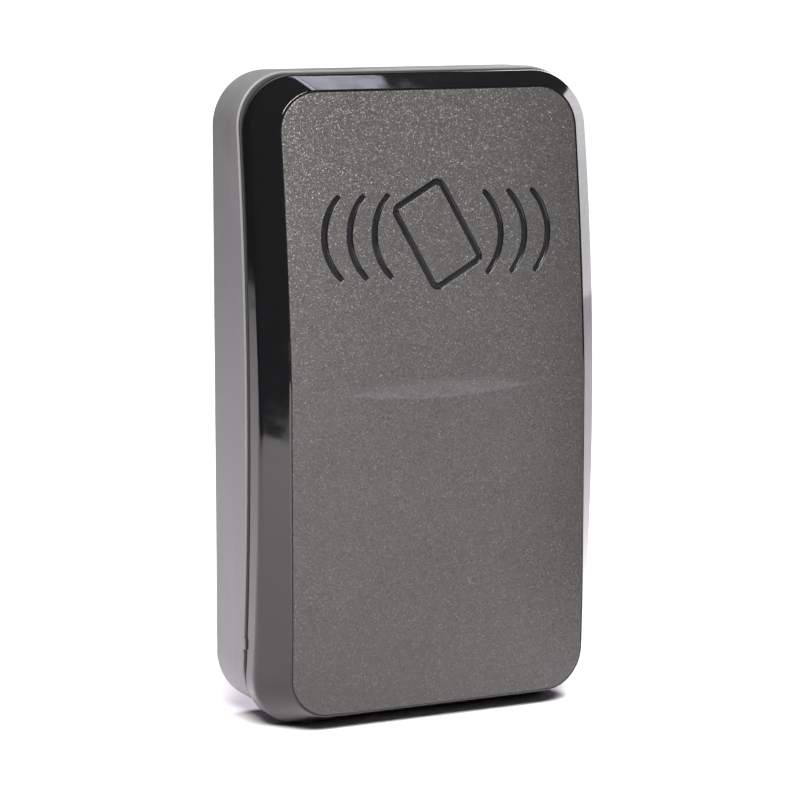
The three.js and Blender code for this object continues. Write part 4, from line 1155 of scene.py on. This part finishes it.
# ---- Electrolytic capacitors ----
# Aluminium cans, crimped above their rubber seal, in shrunk dark sleeves with a pale stripe on the negative
# side. A cross scored in the top lets a failed one vent.
SLEEVE = (0.020, 0.026, 0.045, 1)
STRIPE = (0.42, 0.43, 0.42, 1)
ALUMINIUM = (0.66, 0.67, 0.68, 1)
for name, x, z, radius, front in (
        ("bulk_capacitor", -12, 73, 4.0, 20.4), ("filter_capacitor", 0.5, 54, 3.15, 18.6)):
    sleeve, tree, shader = new_material(name + "_sleeve", {})
    centred = add_node(tree, "Mapping", {"Vector": place_of(tree), "Location": (-x * MM, 0, -z * MM)}).outputs[0]
    apart = add_node(tree, "SeparateXYZ", {0: centred}).outputs
    stripe = remap(tree, calc(tree, "ARCTAN2", apart[2], apart[0]), 2.15, 2.2, 0.0, 1.0)
    flat = add_node(tree, "CombineXYZ", {0: apart[0], 1: apart[2]}).outputs[0]
    from_axis = add_node(tree, "VectorMath", {0: flat}, operation="LENGTH").outputs["Value"]
    bare = remap(tree, from_axis, (radius - 0.62) * MM, (radius - 0.55) * MM, 1.0, 0.0)
    grain = noise(tree, centred, 1500.0, 4.0)
    colour = mixed(tree, bare, mixed(tree, stripe, SLEEVE, STRIPE), ALUMINIUM)
    feed(tree, shader.inputs, {
        "Base Color": scaled(tree, colour, remap(tree, grain, 0.3, 0.7, 0.88, 1.1)), "Metallic": bare,
        "Roughness": remap(tree, grain, 0.3, 0.7, 0.24, 0.4), "Normal": bumped(tree, grain, 0.01)})
    can = turned(name + "_can", x, z, [
        (0, COMPONENT_BACK), (radius, COMPONENT_BACK), (radius, 13.9), (radius - 0.3, 14.1), (radius - 0.3, 14.4),
        (radius, 14.6), (radius, front - 0.05), (radius - 0.5, front - 0.05), (radius - 0.6, front - 0.25),
        (0, front - 0.25)], (0, 0.25, 0.12, 0.1, 0.1, 0.12, 0.3, 0.06, 0.06, 0), sleeve, 64)
    score = radius - 1.1
    shaped(can, (), [plate("score", x, width, z - half, z + half, 0.08, front - 0.42, front, 0.02, sleeve)
                     for width, half in ((0.25, score), (2 * score, 0.125))])
    fitted(can, "case", "can_metal", name)

# ---- Terminal block ----
# A green nylon block with six poles. Each has an opening below for the wire and a well in front for the screw
# that clamps it; the screws are slotted and plated.
TERMINAL_PITCH = 3.5
TERMINAL_BOTTOM, TERMINAL_TOP = 34.6, 42.4
TERMINAL_FRONT = 20.4
WELL_HEIGHT = 38.4
terminal_green = moulded("terminal_green", (0.030, 0.200, 0.070), 0.45, 0.12, 0.008)
terminal_x = (np.arange(6) - 2.5) * TERMINAL_PITCH
block = plate("terminal_block_nylon", 0, 22, TERMINAL_BOTTOM, TERMINAL_TOP, 0.5, COMPONENT_BACK, TERMINAL_FRONT,
              0.3, terminal_green)
cuts = [plate("top_step", 0, 30, 41, 43, 0.3, 18.6, 22, 0.1, terminal_green)]
for x in terminal_x:
    cuts.append(turned("well", x, WELL_HEIGHT, [
        (0, 17), (1.5, 17), (1.5, 20.2), (1.75, 20.6), (1.75, 21.5), (0, 21.5)], 0, terminal_green, 36))
    cuts.append(plate("wire_opening", x, 2.4, TERMINAL_BOTTOM - 1, TERMINAL_BOTTOM + 5, 0.2, 14, 16.4, 0.1,
                      terminal_green))
for x in terminal_x[:-1] + TERMINAL_PITCH / 2:
    cuts.append(plate("divide", x, 0.3, TERMINAL_BOTTOM - 1, TERMINAL_TOP + 1, 0.1, 20.0, 22, 0.03, terminal_green))
shaped(block, (), cuts)
fitted(block, "case", "terminal_green", "terminal_block")
for number, x in enumerate(terminal_x, 1):
    clamp = turned(f"terminal_screw_{number}_steel", x, WELL_HEIGHT, [
        (0, 17.2), (1.3, 17.2), (1.3, 19.4), (0, 19.4)], (0, 0.1, 0.2, 0), plated_steel, 36)
    shaped(clamp, (), [
        plate("slot", x, 4, WELL_HEIGHT - 0.2, WELL_HEIGHT + 0.2, 0.06, 18.85, 20, 0.02, plated_steel)])
    fitted(clamp, "case", "plated_steel", f"terminal_screw_{number}")

# ---- Tamper switch and plunger ----
# A square push switch soldered to the board. A spring lifts its ivory plunger when the cover's pad moves away.
switch = plate("tamper_switch_housing", TAMPER[0], 6, TAMPER[1] - 3, TAMPER[1] + 3, 0.5, COMPONENT_BACK,
               COMPONENT_BACK + 4.4, 0.2, chip_black, 8)
bore = turned("bore", *TAMPER, [
    (0, 14.4), (1.6, 14.4), (1.6, 17.1), (1.8, 17.4), (1.8, 18), (0, 18)], 0, chip_black)
rivets = [rod("rivet", TAMPER[0] + a, TAMPER[1] + b, 0.35, 17.0, 18, chip_black, 16)
          for a in (-2.2, 2.2) for b in (-2.2, 2.2)]
shaped(switch, (), [bore, *rivets])
fitted(switch, "case", "chip_black", "tamper_switch")
plunger_ivory = moulded("plunger_ivory", (0.62, 0.58, 0.46), 0.38, 0.1, 0.004)
plunger = turned("tamper_plunger_stem", *TAMPER, [
    (0, 14.7), (1.4, 14.7), (1.4, 18.9), (0.9, 19.45), (0, 19.5)], (0, 0.15, 0.3, 0.25, 0), plunger_ivory)
fitted(plunger, "tamper_plunger", "plunger_ivory", "tamper_plunger")
